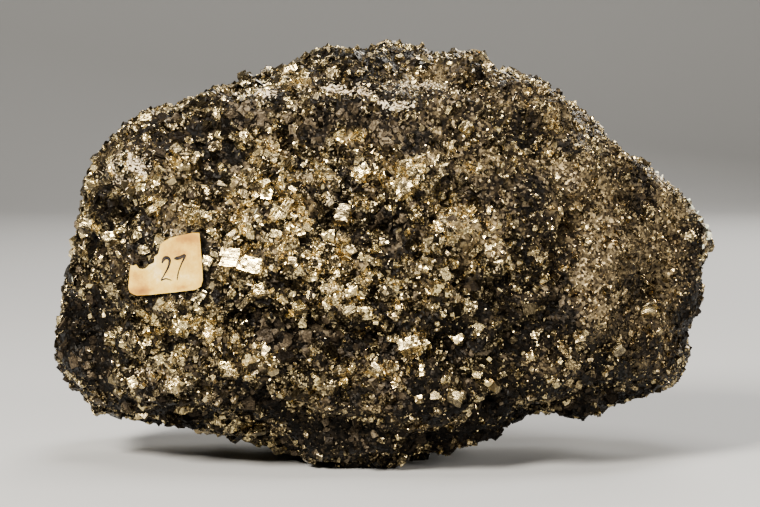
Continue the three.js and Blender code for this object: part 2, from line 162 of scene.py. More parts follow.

# The lump isn't even: gold-rich stretches, bare dark matrix, pale crust and rusty places follow each
# other in soft patches. Some of the dark patches are painted shade along the foot and the lower
# edges, and the bright patches are painted highlight where crystals flash in the light. A patch has a
# column and row in the photograph, a half width and half height in pixels, a tilt in degrees and a
# strength. Most were placed one by one. Some were added, and the strengths set, by comparing measures
# of renders with the photograph's.
DARK_PATCHES = [
    (335, 120, 58, 18, 4, 0.5), (390, 140, 34, 18, 30, 0.6), (300, 138, 18, 12, 0, 0.7),
    (345, 205, 26, 12, -60, 0.7), (328, 228, 14, 9, -50, 0.7), (395, 232, 26, 22, 0, 0.6),
    (455, 200, 22, 18, 0, 0.4), (480, 180, 40, 22, 0, 0.2), (512, 205, 26, 18, 0, 0.2),
    (250, 318, 34, 12, 25, 1.3), (325, 340, 52, 15, 6, 1.2), (270, 338, 20, 12, 0, 1.0),
    (325, 433, 27, 12, 0, 1.6), (283, 360, 9, 22, 0, 0.8), (345, 395, 16, 12, 0, 0.6),
    (85, 335, 20, 26, 0, 1.2), (95, 362, 16, 12, 0, 1.2), (75, 305, 22, 18, 0, 0.8),
    (145, 212, 24, 9, 12, 1.1), (140, 248, 13, 12, 0, 1.0), (103, 228, 12, 18, 0, 0.8),
    (190, 125, 24, 20, 0, 0.6), (215, 152, 26, 24, 0, 1.0), (240, 118, 26, 12, 0, 0.6),
    (400, 345, 26, 16, 0, 0.3), (455, 345, 26, 26, 0, 0.8), (500, 285, 26, 22, 0, 0.7),
    (510, 335, 26, 34, 0, 0.8), (498, 405, 22, 18, 0, 1.1), (562, 300, 22, 38, 12, 1.0),
    (645, 200, 16, 14, 20, 0.9), (632, 180, 14, 10, 30, 0.7), (640, 285, 16, 22, 0, 0.6),
    (692, 320, 8, 58, 0, 1.0), (690, 340, 10, 16, 0, 1.2), (615, 395, 30, 14, 0, 0.9),
    (560, 418, 44, 12, -6, 1.0), (605, 350, 18, 14, 0, 0.6), (300, 282, 14, 8, 0, 0.6),
    (355, 282, 10, 8, 0, 0.5), (395, 295, 12, 8, 0, 0.5), (480, 100, 22, 14, 10, 0.5),
    (395, 62, 34, 10, 8, 0.6), (345, 52, 40, 6, -8, 0.6), (455, 130, 22, 14, 0, 0.6),
    (155, 415, 60, 12, 6, 0.6), (250, 405, 60, 12, 6, 0.6), (170, 345, 30, 12, 0, 0.5),
    (570, 215, 8, 60, 3, 0.5), (545, 165, 10, 22, 0, 0.2), (235, 345, 14, 8, 0, 0.4),
    # Most of the patches from here on, along the foot and the lower left and right edges, are painted
    # shade: there the colour is darker where less light falls.
    (690, 345, 24, 36, 0, 0.6), (85, 370, 40, 45, 0, 0.7), (200, 398, 90, 24, 6, 0.4),
    (430, 385, 70, 20, -4, 0.4), (560, 400, 70, 34, -8, 0.5), (390, 430, 60, 16, 0, 0.5),
    (180, 116, 50, 18, -20, 0.4), (84, 250, 22, 30, 0, 0.5), (330, 438, 170, 22, 4, 0.5),
    (530, 422, 90, 22, -8, 0.45), (378, 388, 30, 20, 0, 0.35), (380, 345, 26, 12, 0, 0.35),
]
GOLD_PATCHES = [
    (230, 225, 44, 18, 0, 0.8), (245, 262, 40, 14, 0, 1.0), (270, 148, 18, 18, 0, 1.0),
    (300, 200, 18, 30, 0, 0.7), (363, 170, 20, 14, 0, 1.0), (405, 178, 20, 18, -20, 1.0),
    (355, 140, 22, 12, 0, 0.7), (475, 170, 18, 12, 0, 0.8), (455, 215, 22, 16, 0, 0.8),
    (320, 306, 34, 14, 0, 0.7), (230, 330, 40, 20, 0, 0.7), (265, 355, 14, 14, 0, 0.8),
    (180, 325, 40, 26, 0, 0.5), (345, 268, 40, 18, 0, 0.5), (415, 265, 26, 22, 0, 0.6),
    (460, 300, 18, 12, 0, 0.7), (365, 300, 18, 10, 0, 0.5), (385, 368, 14, 14, 0, 0.6),
    (340, 370, 30, 12, -12, 0.6), (415, 345, 16, 12, 0, 0.4), (595, 225, 34, 50, 0, 1.4),
    (600, 285, 24, 26, 0, 1.0), (655, 240, 18, 26, 0, 0.8), (500, 240, 60, 22, 0, 0.4),
    (560, 170, 22, 12, 0, 0.6), (555, 110, 22, 22, 0, 0.6), (480, 385, 34, 16, -20, 0.6),
    (130, 170, 34, 24, 0, 0.8), (160, 375, 40, 12, 0, 0.5), (195, 190, 22, 22, 0, 0.4),
    (430, 75, 30, 14, 0, 0.5), (300, 80, 30, 14, 0, 0.5), (560, 390, 22, 26, 0, 0.3),
    (630, 250, 80, 100, 0, 0.45), (280, 415, 160, 24, 4, 0.2), (325, 255, 26, 12, 0, 0.8),
    (500, 252, 34, 22, 0, 0.7), (590, 180, 60, 30, 20, 0.5), (500, 160, 60, 20, 8, 0.35),
    (255, 180, 30, 34, 0, 0.4), (82, 205, 20, 26, 0, 0.5), (560, 225, 24, 24, 0, 0.4),
]
PALE_PATCHES = [
    (257, 94, 22, 6, -4, 1.5), (340, 89, 26, 6, 6, 1.4), (372, 97, 18, 4, 24, 0.8),
    (397, 106, 22, 5, 0, 1.5), (460, 92, 44, 9, 4, 0.5), (430, 84, 30, 5, 0, 0.4),
    (128, 168, 24, 22, 0, 1.2), (165, 150, 16, 12, 0, 0.5),
    (325, 175, 20, 20, 0, 0.6), (290, 190, 18, 16, 0, 0.3), (365, 170, 16, 10, 0, 0.3),
    (150, 372, 30, 16, 0, 0.8), (185, 385, 16, 12, 0, 0.5), (170, 232, 22, 6, -8, 0.8),
    (230, 205, 26, 10, 0, 0.5), (78, 260, 10, 36, 0, 0.5), (330, 215, 14, 26, 0, 0.4),
    (400, 88, 26, 10, 0, 0.5), (212, 250, 10, 22, 0, 0.4), (140, 235, 16, 8, 0, 0.4),
    (708, 236, 6, 14, 0, 1.6), (694, 206, 7, 9, 40, 1.4), (661, 177, 9, 6, 40, 0.9),
]
RUST_PATCHES = [
    (640, 290, 60, 60, 0, 0.6), (655, 355, 26, 26, 0, 0.8), (600, 210, 36, 50, 0, 0.4),
    (510, 95, 60, 18, 12, 0.4), (555, 115, 26, 24, 0, 0.5), (440, 75, 60, 16, 0, 0.4),
    (190, 175, 22, 26, 0, 0.5), (270, 420, 90, 22, 0, 0.4), (420, 425, 60, 24, 0, 0.4),
    (110, 395, 40, 22, 0, 0.6), (680, 275, 18, 30, 0, 0.8), (390, 385, 40, 22, 0, 0.4),
    (625, 240, 60, 90, 0, 0.6), (560, 350, 60, 60, 0, 0.3), (595, 240, 40, 60, 0, 0.5),
]
# Bright patches are painted highlight: the colour is paler and more golden where crystals flash in the
# light.
BRIGHT_PATCHES = [
    (270, 149, 15, 15, 0, 1.0), (405, 178, 17, 19, -20, 1.0), (361, 175, 12, 9, 0, 0.8),
    (356, 136, 18, 6, -14, 0.8), (284, 241, 15, 14, 0, 0.9), (240, 222, 20, 12, 0, 0.7),
    (238, 262, 22, 12, 12, 0.6), (303, 208, 12, 16, 0, 0.6), (454, 215, 16, 14, 0, 0.6),
    (416, 346, 14, 11, 0, 0.8), (513, 146, 9, 7, 0, 0.5), (438, 133, 6, 7, 0, 0.6),
    (330, 300, 26, 9, -8, 0.6), (372, 268, 20, 10, 0, 0.4), (265, 353, 14, 12, 0, 0.6),
    (212, 322, 18, 16, 0, 0.5), (150, 372, 26, 10, 10, 0.4), (130, 172, 18, 18, 0, 0.3),
    (465, 232, 30, 10, -10, 0.4), (385, 370, 16, 10, 0, 0.5), (345, 372, 18, 8, 0, 0.4),
    (596, 232, 20, 26, 0, 0.3), (555, 112, 14, 12, 0, 0.4), (475, 168, 14, 9, 0, 0.5),
    (430, 262, 14, 12, 0, 0.4), (390, 288, 14, 12, 0, 0.4), (185, 322, 14, 12, 0, 0.4),
    (500, 250, 26, 16, 0, 0.5), (250, 195, 22, 20, 0, 0.4), (80, 205, 16, 20, 0, 0.4),
    (545, 200, 20, 12, 0, 0.3), (605, 185, 24, 16, 30, 0.3), (430, 160, 18, 12, 0, 0.4),
]
GREY_PATCHES = [
    (290, 118, 60, 16, 4, 1.0), (375, 135, 50, 20, -10, 1.0), (480, 185, 40, 26, 0, 0.9),
    (500, 110, 40, 16, 10, 0.7), (640, 190, 24, 22, 0, 0.6), (560, 250, 20, 60, 0, 0.4),
    (395, 235, 24, 20, 0, 0.5), (450, 130, 30, 16, 0, 0.6), (600, 250, 60, 80, 0, -0.6),
]


def cell_number(cell, channel):
    """A number from 0 to 1 for each lattice cell, and another one for each channel."""
    wave = np.sin(cell @ np.array([127.1, 311.7, 74.7]) + channel * 53.3) * 43758.5453
    return wave - np.floor(wave)


def soft_noise(points, size, channel=0):
    """A soft random height from -1 to 1, with features about size across."""
    at = points / size
    low = np.floor(at)
    part = at - low
    part = part * part * (3 - 2 * part)
    total = np.zeros(len(points))
    for corner in range(8):
        step = np.array([corner & 1, corner >> 1 & 1, corner >> 2 & 1], float)
        share = np.where(step == 1, part, 1 - part).prod(axis=1)
        total += share * cell_number(low + step, channel)
    return 2 * total - 1


def shown(points):
    """How far each point of the surface lies on the side that the photograph shows, from 0 to 1."""
    outward = points - ROCK_MIDDLE
    outward = outward / np.linalg.norm(outward, axis=1)[:, None]
    return np.clip((outward @ CAMERA_BACK) * 4 + 0.6, 0, 1)


def patch_field(points, patches):
    """How strongly the patches cover each point of the side that the photograph shows."""
    columns, rows = photo_place(points)
    total = np.zeros(len(points))
    for column, row, half_width, half_height, tilt, strength in patches:
        turn = math.radians(tilt)
        right, down = columns - column, rows - row
        along = (right * math.cos(turn) + down * math.sin(turn)) / half_width
        across = (down * math.cos(turn) - right * math.sin(turn)) / half_height
        total += strength * np.exp(-along * along - across * across)
    return total * shown(points)


def unseen_field(points, size, channel):
    """The same kind of patches for the sides that the photograph doesn't show."""
    return (1 - shown(points)) * np.clip(soft_noise(points, size, channel) * 2.2, -1, 1)


def goldness_and_painted_light(points):
    # How rich in gold each place is, with painted light mixed in: the dark patches along the foot lower it
    # as painted shade, and the bright patches raise it as painted highlight.
    field = 0.70 + 0.18 * soft_noise(points, 6.5, 11) + 0.36 * soft_noise(points, 2.6, 12)
    field += 0.26 * patch_field(points, GOLD_PATCHES) - 0.42 * patch_field(points, DARK_PATCHES)
    field -= 0.24 * patch_field(points, GREY_PATCHES)
    return np.clip(field + 0.45 * brightness(points) + 0.24 * unseen_field(points, 13, 13), 0, 1)


def brightness(points):
    # On the shown side this is painted highlight, where crystals flash in the light. On the other sides it
    # is random paler tone.
    field = 1.35 * patch_field(points, BRIGHT_PATCHES) + 0.9 * unseen_field(points, 5, 19) ** 3
    return np.clip((field + 0.3 * soft_noise(points, 1.8, 23) - 0.30) * 2.2, 0, 1)


def greyness(points):
    field = 0.2 + 0.5 * soft_noise(points, 7, 20) + patch_field(points, GREY_PATCHES)
    return np.clip(field, 0, 1)


def rustiness(points):
    field = 0.10 + 0.25 * soft_noise(points, 8, 16) + patch_field(points, RUST_PATCHES)
    return np.clip(field + 0.4 * unseen_field(points, 16, 17), 0, 1)


def paleness(points):
    hidden = (1 - shown(points)) * np.clip(unseen_field(points, 15, 18) - 0.45, 0, 1)
    return np.clip(patch_field(points, PALE_PATCHES) + 0.5 * hidden, 0, 1)


def sphere_net(steps):
    """Directions all round and the triangles between them: an icosahedron cut finer."""
    ball = bmesh.new()
    bmesh.ops.create_icosphere(ball, subdivisions=1, radius=1)
    corners = np.array([v.co for v in ball.verts])
    faces = [[v.index for v in face.verts] for face in ball.faces]
    ball.free()
    spots = [(i, j) for i in range(steps + 1) for j in range(steps + 1 - i)]
    number = {spot: n for n, spot in enumerate(spots)}
    share = np.array([(steps - i - j, i, j) for i, j in spots]) / steps
    patch = []
    for i, j in spots:
        if i + j < steps:
            patch.append((number[i, j], number[i + 1, j], number[i, j + 1]))
        if i + j < steps - 1:
            patch.append((number[i + 1, j], number[i + 1, j + 1], number[i, j + 1]))
    patch = np.array(patch)
    points = np.concatenate([share @ corners[face] for face in faces])
    triangles = np.concatenate([patch + n * len(spots) for n in range(len(faces))])
    _, first, merged = np.unique(points.round(6), axis=0, return_index=True, return_inverse=True)
    points = points[first]
    points /= np.linalg.norm(points, axis=1)[:, None]
    return points, merged.ravel()[triangles]


def solid_surface(node):
    """The node's faces in millimetres, ready to be met by rays."""
    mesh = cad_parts[node].data
    places = np.array([v.co for v in mesh.vertices]) / MM
    faces = [tuple(face.vertices) for face in mesh.polygons]
    return BVHTree.FromPolygons([Vector(p) for p in places], faces, epsilon=0.001)


STONE = solid_surface("pyrite_stone")


def stone_reach(directions):
    """How far the solid stone reaches from its middle in each direction."""
    far = 200.0
    reaches = []
    for way in directions:
        start = ROCK_MIDDLE + way * far
        # A ray that runs exactly along an edge can slip through, so it is sent again a hair aside.
        for aside in (0.0, 0.003, 0.007):
            distance = STONE.ray_cast(Vector(start + aside), Vector(-way))[3]
            if distance is not None:
                break
        reaches.append(far - distance)
    return np.array(reaches)


def rock_surface():
    directions, triangles = sphere_net(ROCK_STEPS)
    reach = stone_reach(directions)
    solid = ROCK_MIDDLE + directions * reach[:, None]
    fine = reach - ROCK_INSET - PIT_DEPTH * np.clip(patch_field(solid, DARK_PATCHES), 0, 1.2)
    for size, height in ROCK_LUMPS:
        fine += height * soft_noise(solid, size)
    points = ROCK_MIDDLE + directions * fine[:, None]
    worn = solid[:, 2] < WORN_FACE_TOP
    points[worn] = solid[worn]
    points[:, 2] = np.maximum(points[:, 2], 0)
    return points, triangles


ROCK_POINTS, ROCK_TRIANGLES = rock_surface()


def new_piece(name, points, faces, material, rides_on="root"):
    """A mesh object from points in millimetres. It moves with the stone's one body."""
    mesh = bpy.data.meshes.new(name)
    mesh.from_pydata(points * MM, [], faces)
    mesh.materials.append(material)
    piece = bpy.data.objects.new(name, mesh)
    bpy.context.collection.objects.link(piece)
    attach(piece, rides_on)
    return piece


def keep_numbers(piece, name, values, domain):
    """Keeps one number for each point or face of the piece, for its material to read."""
    kept = piece.data.attributes.new(name, "FLOAT", domain)
    kept.data.foreach_set("value", np.asarray(values, float))


def flat_map(piece, corners):
    """Lays each corner of each face at its own place in the square that pictures are baked on."""
    flat = piece.data.uv_layers.new(name="OFBake")
    flat.data.foreach_set("uv", np.ascontiguousarray(corners, np.float32).ravel())


def flat_rock(points, triangles):
    """The rock's six sides laid side by side."""
    round_points = (points - ROCK_MIDDLE) / np.array([66.0, 37.0, 42.0])
    corners = round_points[triangles]
    middle = corners.mean(axis=1)
    axis = np.abs(middle).argmax(axis=1)
    side = np.take_along_axis(middle, axis[:, None], 1)[:, 0] > 0
    ahead = np.abs(np.take_along_axis(corners, axis[:, None, None], 2))
    others = np.stack([(axis + 1) % 3, (axis + 2) % 3], axis=1)[:, None, :]
    spread = np.take_along_axis(corners, np.repeat(others, 3, axis=1), 2) / ahead
    spread = spread * 0.47 + 0.5 + np.stack([axis, side], axis=1)[:, None, :]
    return spread / np.array([3, 2])


class Nodes:
    """A material's nodes, added one after another and joined by name."""

    def __init__(self, name):
        self.material = bpy.data.materials.new(name)
        self.material.use_nodes = True
        self.tree = self.material.node_tree
        self.shader = self.tree.nodes["Principled BSDF"]
        self.place = self.add("ShaderNodeTexCoord").outputs["Object"]

    def join(self, socket, value):
        if isinstance(value, bpy.types.NodeSocket):
            self.tree.links.new(value, socket)
        else:
            socket.default_value = value

    def add(self, kind, settings=None, **inputs):
        node = self.tree.nodes.new(kind)
        for key, value in (settings or {}).items():
            setattr(node, key, value)
        for key, value in inputs.items():
            self.join(node.inputs[key.replace("_", " ")], value)
        return node

    def kept(self, name):
        """The number that the mesh keeps under this name."""
        return self.add("ShaderNodeAttribute", {"attribute_name": name}).outputs["Fac"]

    def math(self, operation, *values):
        node = self.add("ShaderNodeMath", {"operation": operation})
        for socket, value in zip(node.inputs, values):
            self.join(socket, value)
        return node.outputs["Value"]

    def vector(self, operation, *values, result="Vector"):
        node = self.add("ShaderNodeVectorMath", {"operation": operation})
        for socket, value in zip(node.inputs, values):
            self.join(socket, value)
        return node.outputs[result]

    def ramp(self, factor, stops):
        node = self.add("ShaderNodeValToRGB", Fac=factor)
        elements = node.color_ramp.elements
        while len(elements) < len(stops):
            elements.new(0.5)
        for element, (place, colour) in zip(elements, stops):
            element.position = place
            element.color = (*colour, 1)
        return node.outputs["Color"]

    def mix(self, factor, one, other):
        node = self.add("ShaderNodeMix", {"data_type": "RGBA"})
        for socket, value in zip((node.inputs[0], node.inputs[6], node.inputs[7]), (factor, one, other)):
            self.join(socket, value)
        return node.outputs[2]

    def noise(self, scale, **inputs):
        return self.add("ShaderNodeTexNoise", Vector=self.place, Scale=scale, **inputs).outputs["Fac"]

    def facets(self, size):
        """Small flat facets about size millimetres across, each turned its own way: a height in
        metres, and a number from 0 to 1 for each facet."""
        cells = self.add("ShaderNodeTexVoronoi", Vector=self.place, Scale=1 / (size * MM))
        slope = self.vector("SUBTRACT", cells.outputs["Color"], (0.5, 0.5, 0.5))
        away = self.vector("SUBTRACT", self.place, cells.outputs["Position"])
        height = self.vector("DOT_PRODUCT", slope, away, result="Value")
        number = self.add("ShaderNodeSeparateColor", Color=cells.outputs["Color"]).outputs["Red"]
        return height, number

    def cracks(self, size, width):
        """How deep each place lies in a crack between such facets, from 0 to 1."""
        edges = self.add("ShaderNodeTexVoronoi", {"feature": "DISTANCE_TO_EDGE"}, Vector=self.place,
                         Scale=1 / (size * MM))
        depth = self.add("ShaderNodeMapRange", Value=edges.outputs["Distance"], From_Max=width / size,
                         To_Min=1.0, To_Max=0.0)
        return depth.outputs["Result"]

    def rough(self, height, strength=1.0):
        """Bumps of the given height in metres."""
        bump = self.add("ShaderNodeBump", Strength=strength, Distance=1.0, Height=height)
        self.set(Normal=bump.outputs["Normal"])

    def set(self, **inputs):
        for key, value in inputs.items():
            self.join(self.shader.inputs[key.replace("_", " ")], value)


def rock_material():
    nodes = Nodes("dark_matrix")
    height, number = nodes.facets(0.55)
    gold_and_painted_light = nodes.kept("gold_and_painted_light")
    clouds = nodes.noise(700.0, Detail=5.0)
    shade = nodes.math("MULTIPLY_ADD", number, 0.42, nodes.math("MULTIPLY_ADD", clouds, 0.5, -0.26))
    # The gold number holds painted shade and painted highlight besides the rock's own gold.
    shade = nodes.math("MULTIPLY_ADD", nodes.math("POWER", gold_and_painted_light, 2.0), 0.52, shade)
    shade = nodes.math("MULTIPLY_ADD", nodes.kept("grey"), 0.26, shade)
    shade = nodes.math("MULTIPLY_ADD", nodes.kept("rust"), 0.09, shade)
    colour = nodes.ramp(shade, [
        (0.30, (0.0020, 0.0015, 0.0010)), (0.52, (0.008, 0.0057, 0.0034)),
        (0.68, (0.034, 0.0245, 0.0135)), (0.88, (0.12, 0.090, 0.048)), (1.0, (0.28, 0.21, 0.11)),
    ])
    grit = nodes.noise(1800.0, Detail=5.0)
    powder = nodes.math("MULTIPLY_ADD", grit, -1.5, nodes.kept("pale"))
    powder = nodes.add("ShaderNodeMapRange", Value=powder, From_Min=0.0, From_Max=0.12).outputs["Result"]
    colour = nodes.mix(powder, colour, POWDER_COLOUR)
    shine = nodes.add("ShaderNodeMapRange", Value=powder, To_Min=0.6, To_Max=0.0).outputs["Result"]
    nodes.set(Base_Color=colour, Roughness=0.48, Metallic=shine, Specular_IOR_Level=0.15)
    nodes.rough(height)
    return nodes.material


def put_rock():
    rock = new_piece("rock_matrix", ROCK_POINTS, ROCK_TRIANGLES.tolist(), rock_material())
    # Painted highlight: the bright patches make the rock paler as well.
    gold_and_painted_light = goldness_and_painted_light(ROCK_POINTS) + 0.12 * brightness(ROCK_POINTS)
    # Painted shade: the rock's gold is halved on the underside, where less light falls.
    gold_and_painted_light[ROCK_POINTS[:, 2] < UNDERSIDE_EDGE] *= 0.5
    keep_numbers(rock, "gold_and_painted_light", gold_and_painted_light, "POINT")
    keep_numbers(rock, "grey", greyness(ROCK_POINTS), "POINT")
    keep_numbers(rock, "pale", np.minimum(paleness(ROCK_POINTS), MOST_POWDER), "POINT")
    keep_numbers(rock, "rust", rustiness(ROCK_POINTS), "POINT")
    flat_map(rock, flat_rock(ROCK_POINTS, ROCK_TRIANGLES))
    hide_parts("pyrite_stone")


put_rock()

# The label's place: a flat spot on the left of the face, where a slip of paper is glued on. Its plane,
# its turn and its torn outline are the solid label's, and the crystals keep clear of it.
LABEL_OUT = np.array([-0.30, -0.945, 0.12]) / np.linalg.norm([-0.30, -0.945, 0.12])
LABEL_PLANE_REACH = 41.3
LABEL_X, LABEL_Z = -41.6, 40.7
LABEL_TURN = math.radians(6.5)
LABEL_SIZE = (15.2, 10.8)
label_flat = np.cross([0, 0, 1], LABEL_OUT) / np.linalg.norm(np.cross([0, 0, 1], LABEL_OUT))
label_steep = np.cross(LABEL_OUT, label_flat)
LABEL_RIGHT = label_flat * math.cos(LABEL_TURN) + label_steep * math.sin(LABEL_TURN)
LABEL_UP = label_steep * math.cos(LABEL_TURN) - label_flat * math.sin(LABEL_TURN)
label_depth = LABEL_PLANE_REACH + LABEL_OUT @ ROCK_MIDDLE - LABEL_OUT[0] * LABEL_X - LABEL_OUT[2] * LABEL_Z
LABEL_MIDDLE = np.array([LABEL_X, label_depth / LABEL_OUT[1], LABEL_Z])
LABEL_OUTLINE = [
    (7.6, 5.3), (6.2, 5.45), (4.9, 5.3), (3.3, 5.15), (1.7, 4.9), (0.7, 4.5), (-0.4, 3.9), (-0.7, 3.0),
    (-0.9, 2.2), (-1.8, 1.6), (-1.75, 1.0), (-1.9, 0.5), (-2.9, 0.2), (-3.8, -0.4), (-4.4, -0.45),
    (-5.0, -0.3), (-5.6, 0.5), (-6.2, 0.35), (-6.7, 0.5), (-7.1, -1.2), (-7.4, -3.7), (-7.05, -4.7),
    (-5.9, -5.35), (-3.0, -5.45), (2.0, -5.4), (6.0, -5.3), (7.2, -4.8), (7.65, -3.7), (7.7, 0.0),
]


def inside_label(a, b):
    """Whether places on the label's plane, from its middle, are inside its outline."""
    inside = np.zeros(len(a), bool)
    for (ax, ay), (bx, by) in zip(LABEL_OUTLINE, LABEL_OUTLINE[1:] + LABEL_OUTLINE[:1]):
        crosses = (ay > b) != (by > b)
        slope = (bx - ax) / (by - ay) if by != ay else 0.0
        inside ^= crosses & (a < ax + (b - ay) * slope)
    return inside


def under_label(points, margin):
    away = points - LABEL_MIDDLE
    a, b, height = away @ LABEL_RIGHT, away @ LABEL_UP, away @ LABEL_OUT
    covered = np.zeros(len(points), bool)
    for turn in range(8):
        angle = turn * math.pi / 4
        covered |= inside_label(a + margin * math.cos(angle), b + margin * math.sin(angle))
    return covered & (np.abs(height) < 4)


# The largest crystals, one by one: striated and stepped blocks of pyrite that catch the eye. They
# grew out of the mass around them and are sunk into it. A row gives the column and row in the
# photograph, the length along the striations, depth and height in mm, the angle of the striations
# in degrees, how far the broad face is turned aside and up from the way that flashes, and how many
# plates are stacked. A few are bent, and two are broken less than the rest.
LARGE_CRYSTALS = [
    ((230, 259), (5.4, 3.4, 3.8), -13, (0.1, 0.2), 7),
    ((252, 267), (5.2, 3.2, 3.2), -20, (0.1, 0.06), 6),
    ((232, 236), (4.0, 3.0, 3.6), 34, (-0.1, 0.12), 6),
    ((261, 291), (4.0, 2.6, 2.4), 8, (0.14, 0.22), 5),
    ((257, 431), (3.2, 2.4, 2.2), 6, (0.12, 0.05), 4),
    ((343, 216), (3.2, 3.0, 3.6), -12, (0.14, 0.16), 6),
    ((364, 171), (3.2, 2.8, 2.6), 26, (-0.16, 0.1), 5),
    ((272, 156), (3.0, 2.6, 2.8), 70, (0.26, 0.05), 4),
    ((404, 190), (4.2, 2.8, 3.0), 30, (0.22, 0.26), 5),
    ((151, 210), (2.6, 1.6, 1.4), 25, (0.0, 0.0), 2),
    ((289, 207), (3.2, 2.6, 2.4), 62, (-0.34, 0.16), 4),
    ((318, 268), (3.8, 2.8, 2.2), -10, (0.36, 0.2), 5),
    ((387, 291), (3.8, 2.8, 2.8), 24, (0.26, -0.28), 5),
    ((430, 262), (3.8, 2.6, 2.4), -38, (-0.36, 0.26), 5),
    ((413, 344), (4.6, 2.6, 2.4), 16, (0.14, 0.22), 6),
    ((350, 310), (3.2, 2.6, 2.4), 40, (0.36, 0.3), 4),
    ((210, 335), (2.8, 2.4, 2.0), 54, (-0.26, 0.34), 4),
    ((226, 366), (3.0, 2.6, 2.2), 20, (0.3, 0.3), 4),
    ((180, 331), (2.8, 2.4, 2.0), -30, (-0.4, 0.26), 4),
    ((112, 236), (3.0, 2.4, 2.2), 12, (0.3, 0.5), 4),
    ((84, 228), (3.2, 2.6, 2.2), -22, (0.4, 0.36), 4),
    ((108, 338), (2.6, 2.2, 2.0), 6, (0.5, 0.3), 3),
    ((468, 128), (2.8, 2.2, 2.0), 44, (-0.26, 0.24), 4),
    ((476, 168), (3.0, 2.4, 2.0), -34, (-0.3, 0.34), 4),
    ((178, 150), (2.6, 2.4, 2.0), 52, (0.36, 0.4), 3),
    ((652, 310), (3.0, 2.6, 2.2), 10, (-0.4, 0.24), 5),
    ((617, 350), (2.4, 2.0, 1.8), 36, (-0.5, 0.4), 4),
    ((689, 237), (2.4, 2.0, 1.6), -20, (-0.2, 0.1), 3),
    ((455, 398), (3.0, 2.4, 2.2), -26, (0.36, 0.4), 4),
    ((300, 308), (3.0, 2.2, 2.0), 24, (0.3, 0.36), 4),
    ((262, 352), (3.2, 2.4, 2.4), -24, (0.22, 0.26), 4),
    ((340, 372), (3.2, 2.4, 2.0), 16, (0.4, 0.3), 4),
    ((375, 371), (3.0, 2.4, 2.2), -36, (0.14, 0.26), 4),
    ((206, 264), (2.6, 2.0, 2.0), 66, (0.4, 0.1), 3),
    ((291, 262), (2.2, 2.0, 1.5), -8, (0.1, 0.1), 2),
    ((338, 274), (1.7, 1.6, 1.5), 12, (0.0, 0.0), 1),
    ((272, 293), (1.5, 1.4, 1.5), 0, (0.0, 0.0), 1),
    ((276, 234), (2.6, 2.0, 1.6), -18, (0.1, 0.1), 3),
]
BENT = {(230, 259): -0.34, (252, 267): -0.3, (343, 216): 0.45, (430, 262): 0.2}
HARDLY_BROKEN = {(230, 259): 0.36, (252, 267): 0.45}
LARGE_SUNK = 0.24  # share of the depth that lies in the rock
LARGE_REACH = 0.48  # share of the mean size that other grains keep away from
LARGE_TONES = (0.56, 0.76)
LARGE_BROKEN = (0.45, 0.95)
KEY_WAY = np.array(LIGHTS["key"]["at"]) / MM - CAMERA_AIM
FLASH_WAY = KEY_WAY / np.linalg.norm(KEY_WAY) + CAMERA_BACK
FLASH_WAY /= np.linalg.norm(FLASH_WAY)


def hull(points):
    """The smallest closed shape round the points, as corners and triangles."""
    shell = bmesh.new()
    for p in points:
        shell.verts.new(p)
    bmesh.ops.convex_hull(shell, input=shell.verts)
    loose = [v for v in shell.verts if not v.link_faces]
    bmesh.ops.delete(shell, geom=loose, context="VERTS")
    bmesh.ops.triangulate(shell, faces=shell.faces)
    bmesh.ops.recalc_face_normals(shell, faces=shell.faces)
    shell.verts.index_update()
    corners = np.array([v.co for v in shell.verts])
    faces = np.array([[v.index for v in face.verts] for face in shell.faces])
    shell.free()
    return corners, faces


def joined(shapes):
    """Several shapes as one."""
    starts = np.cumsum([0] + [len(corners) for corners, _ in shapes])
    corners = np.concatenate([corners for corners, _ in shapes])
    return corners, np.concatenate([faces + start for (_, faces), start in zip(shapes, starts)])


FACE_SPREAD = 0.16  # how far the tones of one crystal's faces differ
CUBE_CORNERS = np.array([(x, y, z) for x in (-0.5, 0.5) for y in (-0.5, 0.5) for z in (-0.5, 0.5)])


def plate_stack(random, count, bend=0.0):
    """A stack of thin plates with uneven broken edges: terraces on top and striated sides."""
    shapes = []
    bottom = -0.5
    steps = random.uniform(0.5, 1.5, count)
    steps /= steps.sum()
    cut = random.uniform(-0.1, 0.35, 4)
    middle = np.zeros(2)
    for n in range(count):
        top = bottom + steps[n]
        middle = np.clip(middle + random.normal(0, 0.03, 2), -0.08, 0.08)
        reach = random.uniform(0.84, 1.0, 2) * (1 - 0.35 * max(0, n / count - 0.6) * random.uniform(0, 3))
        rows = 6 if bend else 1
        for row in range(rows):
            x0, x1 = -0.5 + row / rows, -0.5 + (row + 1) / rows
            ring = []
            for x, y, c in ((x0, -0.5, 0), (x1, -0.5, 1), (x1, 0.5, 2), (x0, 0.5, 3)):
                end = abs(x) > 0.49
                back = max(0.0, cut[c] + random.normal(0, 0.03)) if end else 0.0
                if back > 0.02:
                    ring += [(x - back * np.sign(x) * min(1, 2 / rows), y), (x, y - back * np.sign(y))]
                else:
                    ring.append((x, y))
            ring = np.array(ring) * reach + middle
            low = np.column_stack([ring, bottom - bend * ring[:, 0] ** 2])
            high = np.column_stack([ring, top - bend * ring[:, 0] ** 2])
            shapes.append(hull(np.concatenate([low, high])))
        bottom = top
    return joined(shapes)


def flat_groups(corners, faces):
    """A number for each face, the same for faces that lie in one plane way."""
    a, b, c = (corners[faces[:, n]] for n in range(3))
    normals = np.cross(b - a, c - a)
    normals /= np.linalg.norm(normals, axis=1)[:, None] + 1e-12
    return np.unique(normals.round(1), axis=0, return_inverse=True)[1].ravel()


